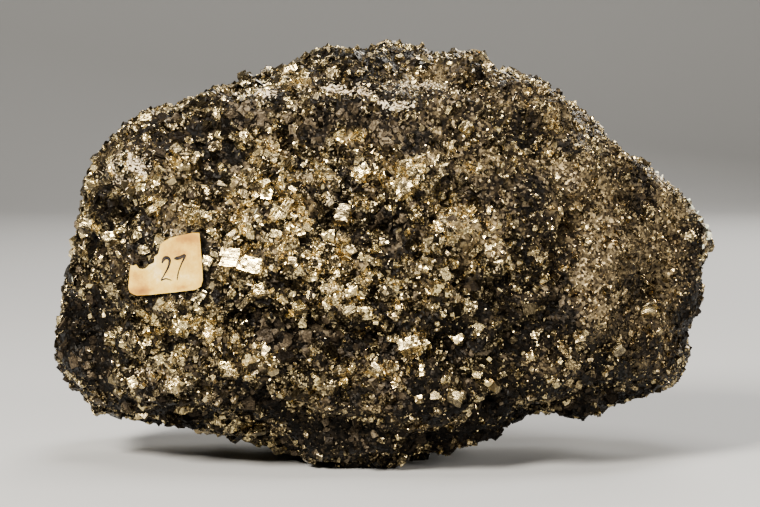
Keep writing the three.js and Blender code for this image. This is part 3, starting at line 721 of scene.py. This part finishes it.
def flat_grains(tones):
    """Two faces to each small square of a grid, with like tones side by side."""
    place = np.empty(len(tones), int)
    place[np.argsort(tones, kind="stable")] = np.arange(len(tones))
    across = math.ceil(math.sqrt((len(tones) + 1) // 2))
    row, column = np.divmod(place // 2, across)
    first = np.array([(0.06, 0.06), (0.86, 0.06), (0.06, 0.86)])
    inside = np.where((place % 2 == 0)[:, None, None], first, 1 - first)
    return (np.stack([column, row], axis=1)[:, None, :] + inside) / across


def join_grains(name, shapes, picks, places, turns, sizes, tones, rust, broken, material, slot):
    """Repeats each shape at its places and joins them all in one mesh. Each face keeps a tone, how
    rusty and how broken it is, and each point how far it lies along its own crystal, for the
    striations."""
    points, faces, face_tones, face_rust, face_broken, along = [], [], [], [], [], []
    offset = 0
    random = np.random.default_rng(len(name))
    for number, (corners, triangles) in enumerate(shapes):
        chosen = np.nonzero(picks == number)[0]
        if not len(chosen):
            continue
        groups = flat_groups(corners, triangles)
        local = corners[None] * sizes[chosen][:, None, :]
        placed = np.einsum("nij,nkj->nki", turns[chosen], local) + places[chosen][:, None]
        above = placed[:, :, 2].min(axis=1) > 0
        placed, chosen, local = placed[above], chosen[above], local[above]
        starts = offset + np.arange(len(chosen)) * len(corners)
        points.append(placed.reshape(-1, 3))
        faces.append((triangles[None] + starts[:, None, None]).reshape(-1, 3))
        own = random.normal(0, FACE_SPREAD, (len(chosen), groups.max() + 1))[:, groups]
        face_tones.append(np.clip(tones[chosen][:, None] + own, 0, 1).ravel())
        face_rust.append(np.repeat(rust[chosen], len(triangles)))
        face_broken.append(np.repeat(broken[chosen], len(triangles)))
        along.append((local[:, :, 2] + random.uniform(0, 900, (len(chosen), 1))).ravel())
        offset += len(chosen) * len(corners)
    points, faces = np.concatenate(points), np.concatenate(faces)
    piece = new_piece(name, points, faces.tolist(), material)
    face_tones = np.concatenate(face_tones)
    keep_numbers(piece, "tone", face_tones, "FACE")
    flat_map(piece, flat_grains(face_tones))
    keep_numbers(piece, "rust", np.concatenate(face_rust), "FACE")
    keep_numbers(piece, "broken", np.concatenate(face_broken), "FACE")
    keep_numbers(piece, "along", np.concatenate(along), "POINT")
    return points[faces]


RIDGE_HEIGHT = 0.00016  # of the striations, in metres
CRACK_WIDTH = 0.09


def crystal_material(name, clean, rusty, facet, hackle, lines, ruggedness):
    """Metallic crystal faces: their tone, striations across the growth direction, and hackly
    facets where they broke, with painted shade in the thin cracks between the facets."""
    nodes = Nodes(name)
    line = nodes.add("ShaderNodeTexNoise", {"noise_dimensions": "1D"}, W=nodes.kept("along"), Scale=1.9,
                     Detail=2.5, Roughness=0.8).outputs["Fac"]
    height, number = nodes.facets(facet)
    broken = nodes.kept("broken")
    speckle_and_crack_shade = nodes.math("SUBTRACT", number, 0.35)
    # Painted shade: the colour goes darker in the thin cracks between the facets.
    speckle_and_crack_shade = nodes.math("MULTIPLY_ADD", nodes.cracks(facet, CRACK_WIDTH), -0.8, speckle_and_crack_shade)
    shade = nodes.math("MULTIPLY_ADD", nodes.math("MULTIPLY", speckle_and_crack_shade, hackle), broken, nodes.kept("tone"))
    shade = nodes.math("MULTIPLY_ADD", line, lines, nodes.math("SUBTRACT", shade, 0.5 * lines))
    colour = nodes.mix(nodes.kept("rust"), nodes.ramp(shade, clean), nodes.ramp(shade, rusty))
    gloss = nodes.add("ShaderNodeMapRange", Value=shade, To_Min=0.42, To_Max=0.22)
    nodes.set(Base_Color=colour, Metallic=1.0, Roughness=gloss.outputs["Result"])
    ridges = nodes.math("MULTIPLY", line, RIDGE_HEIGHT)
    rugged = nodes.math("MULTIPLY", broken, ruggedness)
    nodes.rough(nodes.math("MULTIPLY_ADD", height, rugged, ridges))
    return nodes.material


PYRITE_CLEAN = [
    (0.0, (0.005, 0.0038, 0.0022)), (0.25, (0.040, 0.031, 0.017)), (0.5, (0.190, 0.151, 0.089)),
    (0.75, (0.57, 0.454, 0.236)), (1.0, (1.0, 0.80, 0.36)),
]
PYRITE_RUSTY = [
    (0.0, (0.005, 0.0035, 0.0020)), (0.25, (0.036, 0.024, 0.012)), (0.5, (0.150, 0.104, 0.050)),
    (0.75, (0.42, 0.300, 0.145)), (1.0, (0.82, 0.61, 0.29)),
]
PYRITE = crystal_material("pyrite", PYRITE_CLEAN, PYRITE_RUSTY, 0.46, 0.78, 0.50, 1.15)
BRIGHT_PYRITE = crystal_material("bright_pyrite", PYRITE_CLEAN, PYRITE_RUSTY, 0.70, 0.60, 1.25, 0.9)


def place_at(column, row):
    """The solid stone's point and normal under a column and row of the photograph."""
    right = (column - PHOTO_SIZE[0] / 2) * MM_PER_PIXEL
    up = (PHOTO_SIZE[1] / 2 - row) * MM_PER_PIXEL
    target = CAMERA_AIM + np.array([right, 0, 0]) + up * CAMERA_UP
    way = (target - CAMERA_PLACE) / np.linalg.norm(target - CAMERA_PLACE)
    place, normal, _, _ = STONE.ray_cast(Vector(CAMERA_PLACE), Vector(way))
    return np.array(place), np.array(normal)


def put_large_crystals():
    random = np.random.default_rng(31)
    shapes, places, turns, sizes, tones, broken = [], [], [], [], [], []
    for at, size, lines, (aside, over), plates in LARGE_CRYSTALS:
        place, normal = place_at(*at)
        shapes.append(plate_stack(random, plates, BENT.get(at, 0.0)))
        facing = FLASH_WAY + np.array([aside, 0, over])
        facing /= np.linalg.norm(facing)
        angle = math.radians(lines)
        lengthways = np.array([math.cos(angle), 0, math.sin(angle)])
        lengthways -= facing * (facing @ lengthways)
        lengthways /= np.linalg.norm(lengthways)
        turns.append(np.column_stack([lengthways, -facing, np.cross(lengthways, -facing)]))
        places.append(place - normal * LARGE_SUNK * size[1])
        sizes.append(size)
        tones.append(random.uniform(*LARGE_TONES))
        broken.append(HARDLY_BROKEN.get(at, random.uniform(*LARGE_BROKEN)))
    sizes, places = np.array(sizes), np.array(places)
    join_grains("large_crystals", shapes, np.arange(len(shapes)), places, np.array(turns), sizes,
                np.array(tones), np.zeros(len(shapes)), np.array(broken), BRIGHT_PYRITE, "pyrite")
    return places, LARGE_REACH * sizes[:, [0, 2]].mean(axis=1)


LARGE_PLACES, LARGE_REACHES = put_large_crystals()

# Coarse crystals, two to four millimetres: stepped and striated blocks, cubes and twelve-sided
# crystals, thick on the left half of the face and thin elsewhere.
COARSE_DENSITY = 0.19
COARSE_SIZE = (1.8, 3.7)
GRAIN_SHAPES = 40  # different shapes in each size class
GRAIN_REACH = 0.30  # share of its length that smaller grains keep away from
DARK_SUNK = 0.15  # how much deeper dark grains sit, as a share of their length
COARSE_PATCHES = [
    (260, 240, 100, 90, 0, 0.9), (380, 300, 110, 60, 0, 0.5), (200, 340, 90, 50, 0, 0.5),
    (260, 140, 60, 40, 0, 0.4), (380, 170, 60, 40, 0, 0.4), (90, 250, 40, 70, 0, 0.3),
    (250, 420, 60, 20, 0, 0.5), (620, 240, 70, 110, 0, -1.0), (480, 120, 120, 50, 0, -0.4),
]


def splinter(random, fewest=6, most=8):
    """A broken chip with a few corners and flat faces between them."""
    count = random.integers(fewest, most + 1)
    points = random.normal(size=(count, 3))
    points /= np.linalg.norm(points, axis=1)[:, None] * 2
    return hull(points * np.array([1.15, 0.95, 0.75]))


def block(random):
    """A cube, often longer one way and askew, with some of its corners broken off."""
    points = []
    for corner in CUBE_CORNERS:
        if random.random() < 0.3:
            for axis in range(3):
                cut = corner.copy()
                cut[axis] *= 1 - random.uniform(0.4, 1.1)
                points.append(cut)
        else:
            points.append(corner)
    points = np.array(points) * random.uniform((0.9, 0.75, 0.6), (1.1, 1.0, 0.95))
    points[:, 0] += points[:, 2] * random.normal(0, 0.12)
    points[:, 1] += points[:, 0] * random.normal(0, 0.12)
    return hull(points)


def twelve_sided(random):
    """A pyritohedron, the crystal that takes its name from pyrite."""
    h = 0.5
    points = [corner * 2 for corner in CUBE_CORNERS]
    for s in (-1, 1):
        for t in (-1, 1):
            points += [(0, s * (1 + h), t * (1 - h * h)), (s * (1 + h), t * (1 - h * h), 0),
                       (t * (1 - h * h), 0, s * (1 + h))]
    squash = random.uniform(0.8, 1.0, 3)
    return hull(np.array(points) / 2.6 * squash)


def stepped_block(random):
    """Three to five cubes grown through each other the same way round, which leaves steps."""
    parts = []
    for n in range(random.integers(3, 6)):
        size = random.uniform(0.45, 0.85, 3) if n else np.array([0.8, 0.75, 0.7])
        shift = random.uniform(-0.28, 0.28, 3) if n else np.zeros(3)
        parts.append(hull(CUBE_CORNERS * size + shift))
    return joined(parts)


def coarseness(points):
    field = 0.25 + 0.25 * soft_noise(points, 9, 14) + 0.7 * patch_field(points, COARSE_PATCHES)
    return np.clip(field + 0.3 * unseen_field(points, 20, 15), 0, 1)


corner_places = ROCK_POINTS[ROCK_TRIANGLES]
face_sides = corner_places[:, 1:] - corner_places[:, :1]
face_cross = np.cross(face_sides[:, 0], face_sides[:, 1])
FACE_AREA = np.linalg.norm(face_cross, axis=1) / 2
FACE_MIDDLE = corner_places.mean(axis=1)
GOLD_AND_PAINTED_LIGHT, COARSE = goldness_and_painted_light(FACE_MIDDLE), coarseness(FACE_MIDDLE)
RUST, PALE = rustiness(FACE_MIDDLE), paleness(FACE_MIDDLE)
BRIGHT, GREY = brightness(FACE_MIDDLE), greyness(FACE_MIDDLE)


def scatter(random, density):
    """Picks places on the rock, with so many a square millimetre at each of its faces."""
    wanted = density * FACE_AREA
    counts = np.floor(wanted + random.random(len(wanted))).astype(int)
    counts[FACE_MIDDLE[:, 2] < UNDERSIDE_EDGE] = 0
    faces = np.repeat(np.arange(len(wanted)), counts)
    a, b = random.random((2, len(faces)))
    over = a + b > 1
    a[over], b[over] = 1 - a[over], 1 - b[over]
    corners = corner_places[faces]
    places = corners[:, 0] + a[:, None] * (corners[:, 1] - corners[:, 0])
    places += b[:, None] * (corners[:, 2] - corners[:, 0])
    return places, faces


def kept_clear(places, taken, reaches):
    """Which places lie outside the reach of every larger crystal."""
    tree = KDTree(len(taken))
    for n, place in enumerate(taken):
        tree.insert(place, n)
    tree.balance()
    keep = np.ones(len(places), bool)
    for n, place in enumerate(places):
        for _, m, distance in tree.find_n(place, 2):
            if distance < reaches[m]:
                keep[n] = False
    return keep


def outward(places):
    away = places - ROCK_MIDDLE
    return away / np.linalg.norm(away, axis=1)[:, None]


def random_turns(random, count):
    """Turns spread evenly over all directions, as matrices."""
    q = random.normal(size=(count, 4))
    q /= np.linalg.norm(q, axis=1)[:, None]
    w, x, y, z = q.T
    return np.stack([
        1 - 2 * (y * y + z * z), 2 * (x * y - w * z), 2 * (x * z + w * y),
        2 * (x * y + w * z), 1 - 2 * (x * x + z * z), 2 * (y * z - w * x),
        2 * (x * z - w * y), 2 * (y * z + w * x), 1 - 2 * (x * x + y * y),
    ], axis=1).reshape(-1, 3, 3)


def grow(random, density, sizes, makers, sunk, label_margin, larger):
    """Grains of one size class: where they are, how large, how turned, golden or dark, and how
    bright and rusty."""
    places, faces = scatter(random, density)
    keep = ~under_label(places, label_margin)
    places, faces = places[keep], faces[keep]
    for taken, reaches in larger:
        keep = kept_clear(places, taken, reaches)
        places, faces = places[keep], faces[keep]
    count = len(places)
    low, high = sizes
    depth = random.uniform(sunk[0], sunk[1], count)
    length = low + (high - low) * random.random(count) ** 1.8 * (0.55 + 0.45 * COARSE[faces])
    finest = high < 1.2
    powdery = (random.random(count) < np.clip(PALE[faces] - 0.3, 0, 0.9)) & finest
    golden = (random.random(count) < np.clip((GOLD_AND_PAINTED_LIGHT[faces] - 0.20) * 2.3, 0.10, 0.96)) & ~powdery
    plain = random.beta(1.05, 1.15, count) + 0.34 * (GOLD_AND_PAINTED_LIGHT[faces] - 0.58) - 0.12 * COARSE[faces] * finest
    # Painted highlight: the bright patches pull the grains' tones towards pale where crystals flash in the
    # light.
    plain += 0.82 * RUST[faces] * (0.50 - plain) + 0.78 * BRIGHT[faces] * (0.90 - plain)
    dark = 0.65 * random.random(count) + 0.90 * (GREY[faces] - 0.18) + 0.22 * RUST[faces]
    bright = np.where(golden, plain, np.where(powdery, random.beta(2.4, 1.6, count) * 0.9, dark))
    depth[~golden] += DARK_SUNK
    rough = low < 1.5
    smooth = random.random(count) < 0.06 + 0.36 * COARSE[faces] * rough
    shapes = [makers[n % len(makers)](random) for n in range(GRAIN_SHAPES)]
    return {
        "shapes": shapes,
        "picks": random.integers(0, GRAIN_SHAPES, count),
        "places": places - outward(places) * (depth * length)[:, None],
        "turns": random_turns(random, count),
        "sizes": length[:, None] * random.uniform((0.85, 0.8, 0.7), (1.15, 1.0, 1.0), (count, 3)),
        "tones": np.clip(bright, 0, 1),
        "rust": np.clip(RUST[faces] * random.uniform(0.2, 1.3, count), 0, 1),
        "broken": np.where(smooth, 0.15, random.uniform(0.5, 1.0, count)),
        "golden": golden,
        "powdery": powdery,
        "dark": ~golden & ~powdery,
        "front": places[:, 1] < 0,
        "reach": GRAIN_REACH * length,
    }


standing = []  # the faces of the grains put so far, which the pale crust clings to


def put_grains(name, grains, part, material, slot):
    """Makes one piece of some of the grains of a size class."""
    kinds = ("picks", "places", "turns", "sizes", "tones", "rust", "broken")
    chosen = [grains[kind][part] for kind in kinds]
    standing.append(join_grains(name, grains["shapes"], *chosen, material, slot))


coarse = grow(
    np.random.default_rng(41), COARSE_DENSITY * (0.06 + 1.75 * COARSE) * np.clip(GOLD_AND_PAINTED_LIGHT * 1.6, 0.25, 1),
    COARSE_SIZE, [stepped_block, block, lambda r: plate_stack(r, 3), twelve_sided, block],
    (0.12, 0.36), 1.0, [(LARGE_PLACES, LARGE_REACHES)],
)
put_grains("coarse_pyrite", coarse, coarse["golden"], PYRITE, "pyrite")

# Medium grains, one to two millimetres, golden and dark side by side. They make the mosaic that
# covers most of the lump, and the golden ones go brown where the stone has rusted.
MEDIUM_DENSITY = 0.80
MEDIUM_SIZE = (1.0, 2.1)


def dark_grain_material():
    nodes = Nodes("dark_grains")
    height, number = nodes.facets(0.30)
    shade = nodes.math("MULTIPLY_ADD", number, 0.3, nodes.math("SUBTRACT", nodes.kept("tone"), 0.15))
    colour = nodes.ramp(shade, [
        (0.0, (0.0018, 0.0012, 0.0007)), (0.35, (0.0078, 0.0055, 0.0034)),
        (0.65, (0.032, 0.0235, 0.0145)), (0.9, (0.075, 0.057, 0.037)), (1.0, (0.150, 0.118, 0.076)),
    ])
    nodes.set(Base_Color=colour, Metallic=0.0, Roughness=0.42, Specular_IOR_Level=0.05)
    nodes.rough(nodes.math("MULTIPLY", height, 0.6))
    return nodes.material


DARK = dark_grain_material()
medium = grow(
    np.random.default_rng(42), MEDIUM_DENSITY * (0.55 + 0.7 * COARSE + 0.35 * BRIGHT) * (1 - 0.6 * PALE),
    MEDIUM_SIZE, [block, splinter, block, splinter, splinter], (0.05, 0.30), 0.55,
    [(LARGE_PLACES, LARGE_REACHES), (coarse["places"], coarse["reach"])],
)
put_grains("medium_pyrite_front", medium, medium["golden"] & medium["front"], PYRITE, "pyrite")
put_grains("medium_pyrite_back", medium, medium["golden"] & ~medium["front"], PYRITE, "pyrite")
put_grains("coarse_dark_grains", coarse, ~coarse["golden"], DARK, "dark_matrix")
put_grains("medium_dark_grains", medium, medium["dark"], DARK, "dark_matrix")

# Fine grains of pyrite and matrix, half a millimetre to one millimetre. They grew last and fill the
# gaps between the larger ones.
FINE_DENSITY = 1.6
FINE_SIZE = (0.5, 1.05)

fine = grow(
    np.random.default_rng(43), FINE_DENSITY * (1.08 - 0.28 * COARSE + 0.8 * PALE), FINE_SIZE,
    [lambda r: splinter(r, 5, 6), lambda r: splinter(r, 6, 7)], (-0.15, 0.2), 0.3,
    [(LARGE_PLACES, LARGE_REACHES), (coarse["places"], coarse["reach"]),
     (medium["places"], medium["reach"] * 0.8)],
)
put_grains("fine_pyrite_front", fine, fine["golden"] & fine["front"], PYRITE, "pyrite")
put_grains("fine_pyrite_back", fine, fine["golden"] & ~fine["front"], PYRITE, "pyrite")
put_grains("fine_dark_grains", fine, fine["dark"], DARK, "dark_matrix")

# Pale crust: powdery white to cream threads that cling to the crystals' edges like a web, thickest
# along the ridge near the top, with a few greenish white flakes on the right end.
CRUST_MOST = 8500
CRUST_SHAPES = 12
CRUST_WIDTH = (0.10, 0.26)
FLAKES = [
    (706, 226, 2.2), (709, 233, 1.8), (708, 241, 2.0), (704, 248, 1.4), (703, 219, 1.4),
    (691, 201, 2.0), (695, 207, 1.7), (698, 212, 1.2), (662, 177, 1.3), (658, 173, 1.0),
]


def crust_material():
    nodes = Nodes("pale_crust")
    colour = nodes.ramp(nodes.kept("tone"), [
        (0.0, (0.42, 0.30, 0.16)), (0.4, (0.74, 0.59, 0.38)),
        (0.8, (0.95, 0.83, 0.62)), (1.0, (0.72, 0.80, 0.66)),
    ])
    nodes.set(Base_Color=colour, Roughness=0.75, Specular_IOR_Level=0.2)
    return nodes.material


def turned_along(ways, random):
    """Turns that lay each shape's length along its own way."""
    ways = ways / np.linalg.norm(ways, axis=1)[:, None]
    side = np.cross(ways, random.normal(size=ways.shape))
    side /= np.linalg.norm(side, axis=1)[:, None]
    return np.stack([ways, side, np.cross(ways, side)], axis=2)


def put_crust():
    random = np.random.default_rng(47)
    shapes = [splinter(random, 6, 6) for _ in range(CRUST_SHAPES)]
    faces = np.concatenate(standing)
    middle = faces.mean(axis=1)
    ahead = np.cross(faces[:, 1] - faces[:, 0], faces[:, 2] - faces[:, 0])
    ahead /= np.linalg.norm(ahead, axis=1)[:, None] + 1e-12
    threads = 1 - np.abs(soft_noise(middle, 2.4, 21) + 0.5 * soft_noise(middle, 1.0, 22)) * 2.6
    chance = paleness(middle) ** 1.3 * np.clip(threads * 1.5, 0, 1)
    chance[(ahead * outward(middle)).sum(axis=1) < 0.15] = 0
    taken = np.nonzero((random.random(len(faces)) < chance) & ~under_label(middle, 0.3))[0]
    taken = random.permutation(taken)[:CRUST_MOST]
    corner = random.integers(0, 3, len(taken))
    start, end = faces[taken, corner], faces[taken, (corner + 1) % 3]
    length = np.linalg.norm(end - start, axis=1)
    width = random.uniform(*CRUST_WIDTH, len(taken))
    sizes = np.column_stack([np.clip(length * 1.1, 0.3, 1.6), width, width * 0.8])
    places, turns = (start + end) / 2, turned_along(end - start, random)
    tones = random.beta(2.4, 1.6, len(taken)) * 0.9
    for column, row, size in FLAKES:
        place, normal = place_at(column, row)
        # A flake that would lie just past the stone's edge moves in until it meets the stone.
        while place.ndim == 0:
            column -= 2
            place, normal = place_at(column, row)
        places = np.vstack([places, place - normal * 0.1])
        turns = np.concatenate([turns, turned_along(np.cross(normal, random.normal(size=3))[None], random)])
        sizes = np.vstack([sizes, [size * 1.3, size, size * 0.55]])
        tones = np.append(tones, 1.0)
    picks = random.integers(0, CRUST_SHAPES, len(places))
    none = np.zeros(len(places))
    crust = crust_material()
    join_grains("pale_crust", shapes, picks, places, turns, sizes, tones, none, none, crust, "pale_crust")
    put_grains("fine_crust_grains", fine, fine["powdery"], crust, "pale_crust")


put_crust()

# The label: an old slip of paper glued to the stone, with rounded corners and its upper left part
# torn away. The paper has yellowed, with tan stains, and its lower left corner lifts a little.
PAPER_THICKNESS = 0.12
PAPER_STEP = 0.45
FIBRE_HEIGHT = 0.00002  # metres


def paper_height(a, b):
    """How far the sheet stands off its plane: a slight wave, and lifted at two places."""
    wave = 0.05 * math.sin(0.9 * a + 0.4) + 0.04 * math.sin(1.3 * b + 1.0)
    corner = 0.30 * math.exp(-((a + 7.2) ** 2 + (b + 5.0) ** 2) / 5)
    tear = 0.22 * math.exp(-((a + 2.4) ** 2 + (b - 0.9) ** 2) / 2)
    return 0.42 + wave + corner + tear


def paper_place(a, b, above=0.0):
    return LABEL_MIDDLE + a * LABEL_RIGHT + b * LABEL_UP + (paper_height(a, b) + above) * LABEL_OUT


def paper_material():
    nodes = Nodes("label_paper")
    mottle = nodes.noise(420.0, Detail=8.0, Roughness=0.65)
    specks = nodes.noise(1900.0, Detail=3.0)
    shade = nodes.math("SUBTRACT", nodes.kept("tone"), 0.33)
    shade = nodes.math("MULTIPLY_ADD", mottle, 0.75, shade)
    shade = nodes.math("MULTIPLY_ADD", specks, 0.25, shade)
    colour = nodes.ramp(shade, [
        (0.05, (0.80, 0.63, 0.29)), (0.22, (0.68, 0.46, 0.090)), (0.38, (0.60, 0.36, 0.040)),
        (0.58, (0.43, 0.205, 0.013)), (0.95, (0.24, 0.090, 0.005)),
    ])
    fibres = nodes.noise(2600.0, Detail=4.0)
    nodes.set(Base_Color=colour, Roughness=0.82)
    nodes.rough(nodes.math("MULTIPLY", fibres, FIBRE_HEIGHT))
    return nodes.material


STAINS = [
    (5.0, 4.5, 2.0, 1.0, 0.50), (-4.8, -4.7, 2.0, 0.7, 0.55), (3.2, -4.6, 1.6, 0.5, 0.30),
    (-4.8, -2.4, 2.0, 1.4, 0.10), (4.6, 1.6, 2.4, 1.8, 0.14), (1.6, 2.4, 2.2, 1.6, 0.16),
    (-1.4, -1.8, 2.0, 2.0, -0.12), (0.5, -3.2, 4.0, 1.6, -0.06), (-2.2, 0.8, 0.9, 0.9, -0.30),
    (-4.6, -0.4, 1.6, 0.35, -0.30), (-6.4, 0.2, 0.8, 0.35, -0.30), (-1.0, 2.6, 0.4, 1.0, -0.25),
    (7.2, 3.0, 0.5, 2.6, 0.16), (7.3, -2.6, 0.4, 2.4, 0.12),
]
FOLD_AT = -3.1  # the part left of an old fold is a shade darker
FOLD_SHADE = 0.10


def thicken(piece, thickness):
    """Gives a flat sheet its thickness in millimetres, half of it on each side."""
    thick = piece.modifiers.new("thickness", "SOLIDIFY")
    thick.thickness = thickness * MM
    thick.offset = 0


def put_label():
    edge = []
    for (ax, ay), (bx, by) in zip(LABEL_OUTLINE, LABEL_OUTLINE[1:] + LABEL_OUTLINE[:1]):
        steps = max(1, int(math.hypot(bx - ax, by - ay) / PAPER_STEP))
        edge += [(ax + (bx - ax) * n / steps, ay + (by - ay) * n / steps) for n in range(steps)]
    across = np.arange(-LABEL_SIZE[0] / 2, LABEL_SIZE[0] / 2, PAPER_STEP)
    upward = np.arange(-LABEL_SIZE[1] / 2, LABEL_SIZE[1] / 2, PAPER_STEP)
    grid_a, grid_b = (v.ravel() for v in np.meshgrid(across, upward))
    inside = inside_label(grid_a, grid_b)
    near = np.array([min(math.hypot(a - x, b - y) for x, y in edge) for a, b in zip(grid_a, grid_b)])
    inner = [(a, b) for a, b, ok in zip(grid_a, grid_b, inside & (near > PAPER_STEP * 0.5)) if ok]
    flat = [Vector(p) for p in edge + inner]
    ring = [(n, (n + 1) % len(edge)) for n in range(len(edge))]
    points, _, faces, _, _, _ = delaunay_2d_cdt(flat, ring, [], 1, 1e-4)
    places = np.array([paper_place(*p) for p in points])
    sheet = new_piece("paper_sheet", places, faces, paper_material())
    tones = []
    for a, b in points:
        tone = 0.14 + (FOLD_SHADE if a < FOLD_AT else 0.0)
        for x, y, wide, high, strength in STAINS:
            tone += strength * math.exp(-((a - x) / wide) ** 2 - ((b - y) / high) ** 2)
        tones.append(tone)
    keep_numbers(sheet, "tone", tones, "POINT")
    thicken(sheet, PAPER_THICKNESS)
    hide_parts("paper_label")


put_label()

# The number on the label, written by hand in dark iron ink with a nib, and faded a little. It is a
# plain number of no meaning.
NIB_WIDTH = 0.78
INK_THICKNESS = 0.02
FIGURE_STROKES = [
    [(-0.3, 0.3), (0.2, 1.1), (0.9, 1.2), (1.3, 0.6), (0.9, -0.6), (0.0, -1.9), (-0.7, -2.9), (0.2, -2.7),
     (1.4, -3.1)],
    [(2.2, 0.9), (3.3, 1.0), (4.4, 1.3), (3.6, -0.2), (2.9, -1.6), (2.5, -3.2)],
]


def put_ink():
    above = PAPER_THICKNESS / 2 + INK_THICKNESS
    points, faces = [], []
    for stroke in FIGURE_STROKES:
        smooth = []
        for n in range(len(stroke) - 1):
            spots = (min(max(n + k, 0), len(stroke) - 1) for k in (-1, 0, 1, 2))
            before, a, b, after = (np.array(stroke[spot]) for spot in spots)
            for t in np.linspace(0, 1, 9)[:-1]:
                square = 2 * before - 5 * a + 4 * b - after
                cube = 3 * a - before - 3 * b + after
                smooth.append(0.5 * (2 * a + (b - before) * t + square * t ** 2 + cube * t ** 3))
        smooth.append(np.array(stroke[-1], float))
        first = len(points)
        for n, p in enumerate(smooth):
            ahead = smooth[min(n + 1, len(smooth) - 1)] - smooth[max(n - 1, 0)]
            side = np.array([-ahead[1], ahead[0]]) / (np.linalg.norm(ahead) + 1e-9)
            share = n / (len(smooth) - 1)
            swell = 0.62 + 0.3 * math.sin(5 * share + 1.0)
            width = NIB_WIDTH * swell * min(1, 0.35 + 6 * share, 0.3 + 5 * (1 - share))
            for s in (-0.5, 0.5):
                points.append(paper_place(*(p + side * width * s), above))
        faces += [(first + 2 * n, first + 2 * n + 1, first + 2 * n + 3, first + 2 * n + 2)
                  for n in range(len(smooth) - 1)]
    nodes = Nodes("label_ink")
    fade = nodes.noise(1500.0)
    colour = nodes.ramp(fade, [(0.40, (0.008, 0.007, 0.008)), (0.75, (0.040, 0.028, 0.020))])
    nodes.set(Base_Color=colour, Roughness=0.7, Specular_IOR_Level=0.1)
    ink = new_piece("label_ink", np.array(points), faces, nodes.material)
    thicken(ink, INK_THICKNESS)


put_ink()
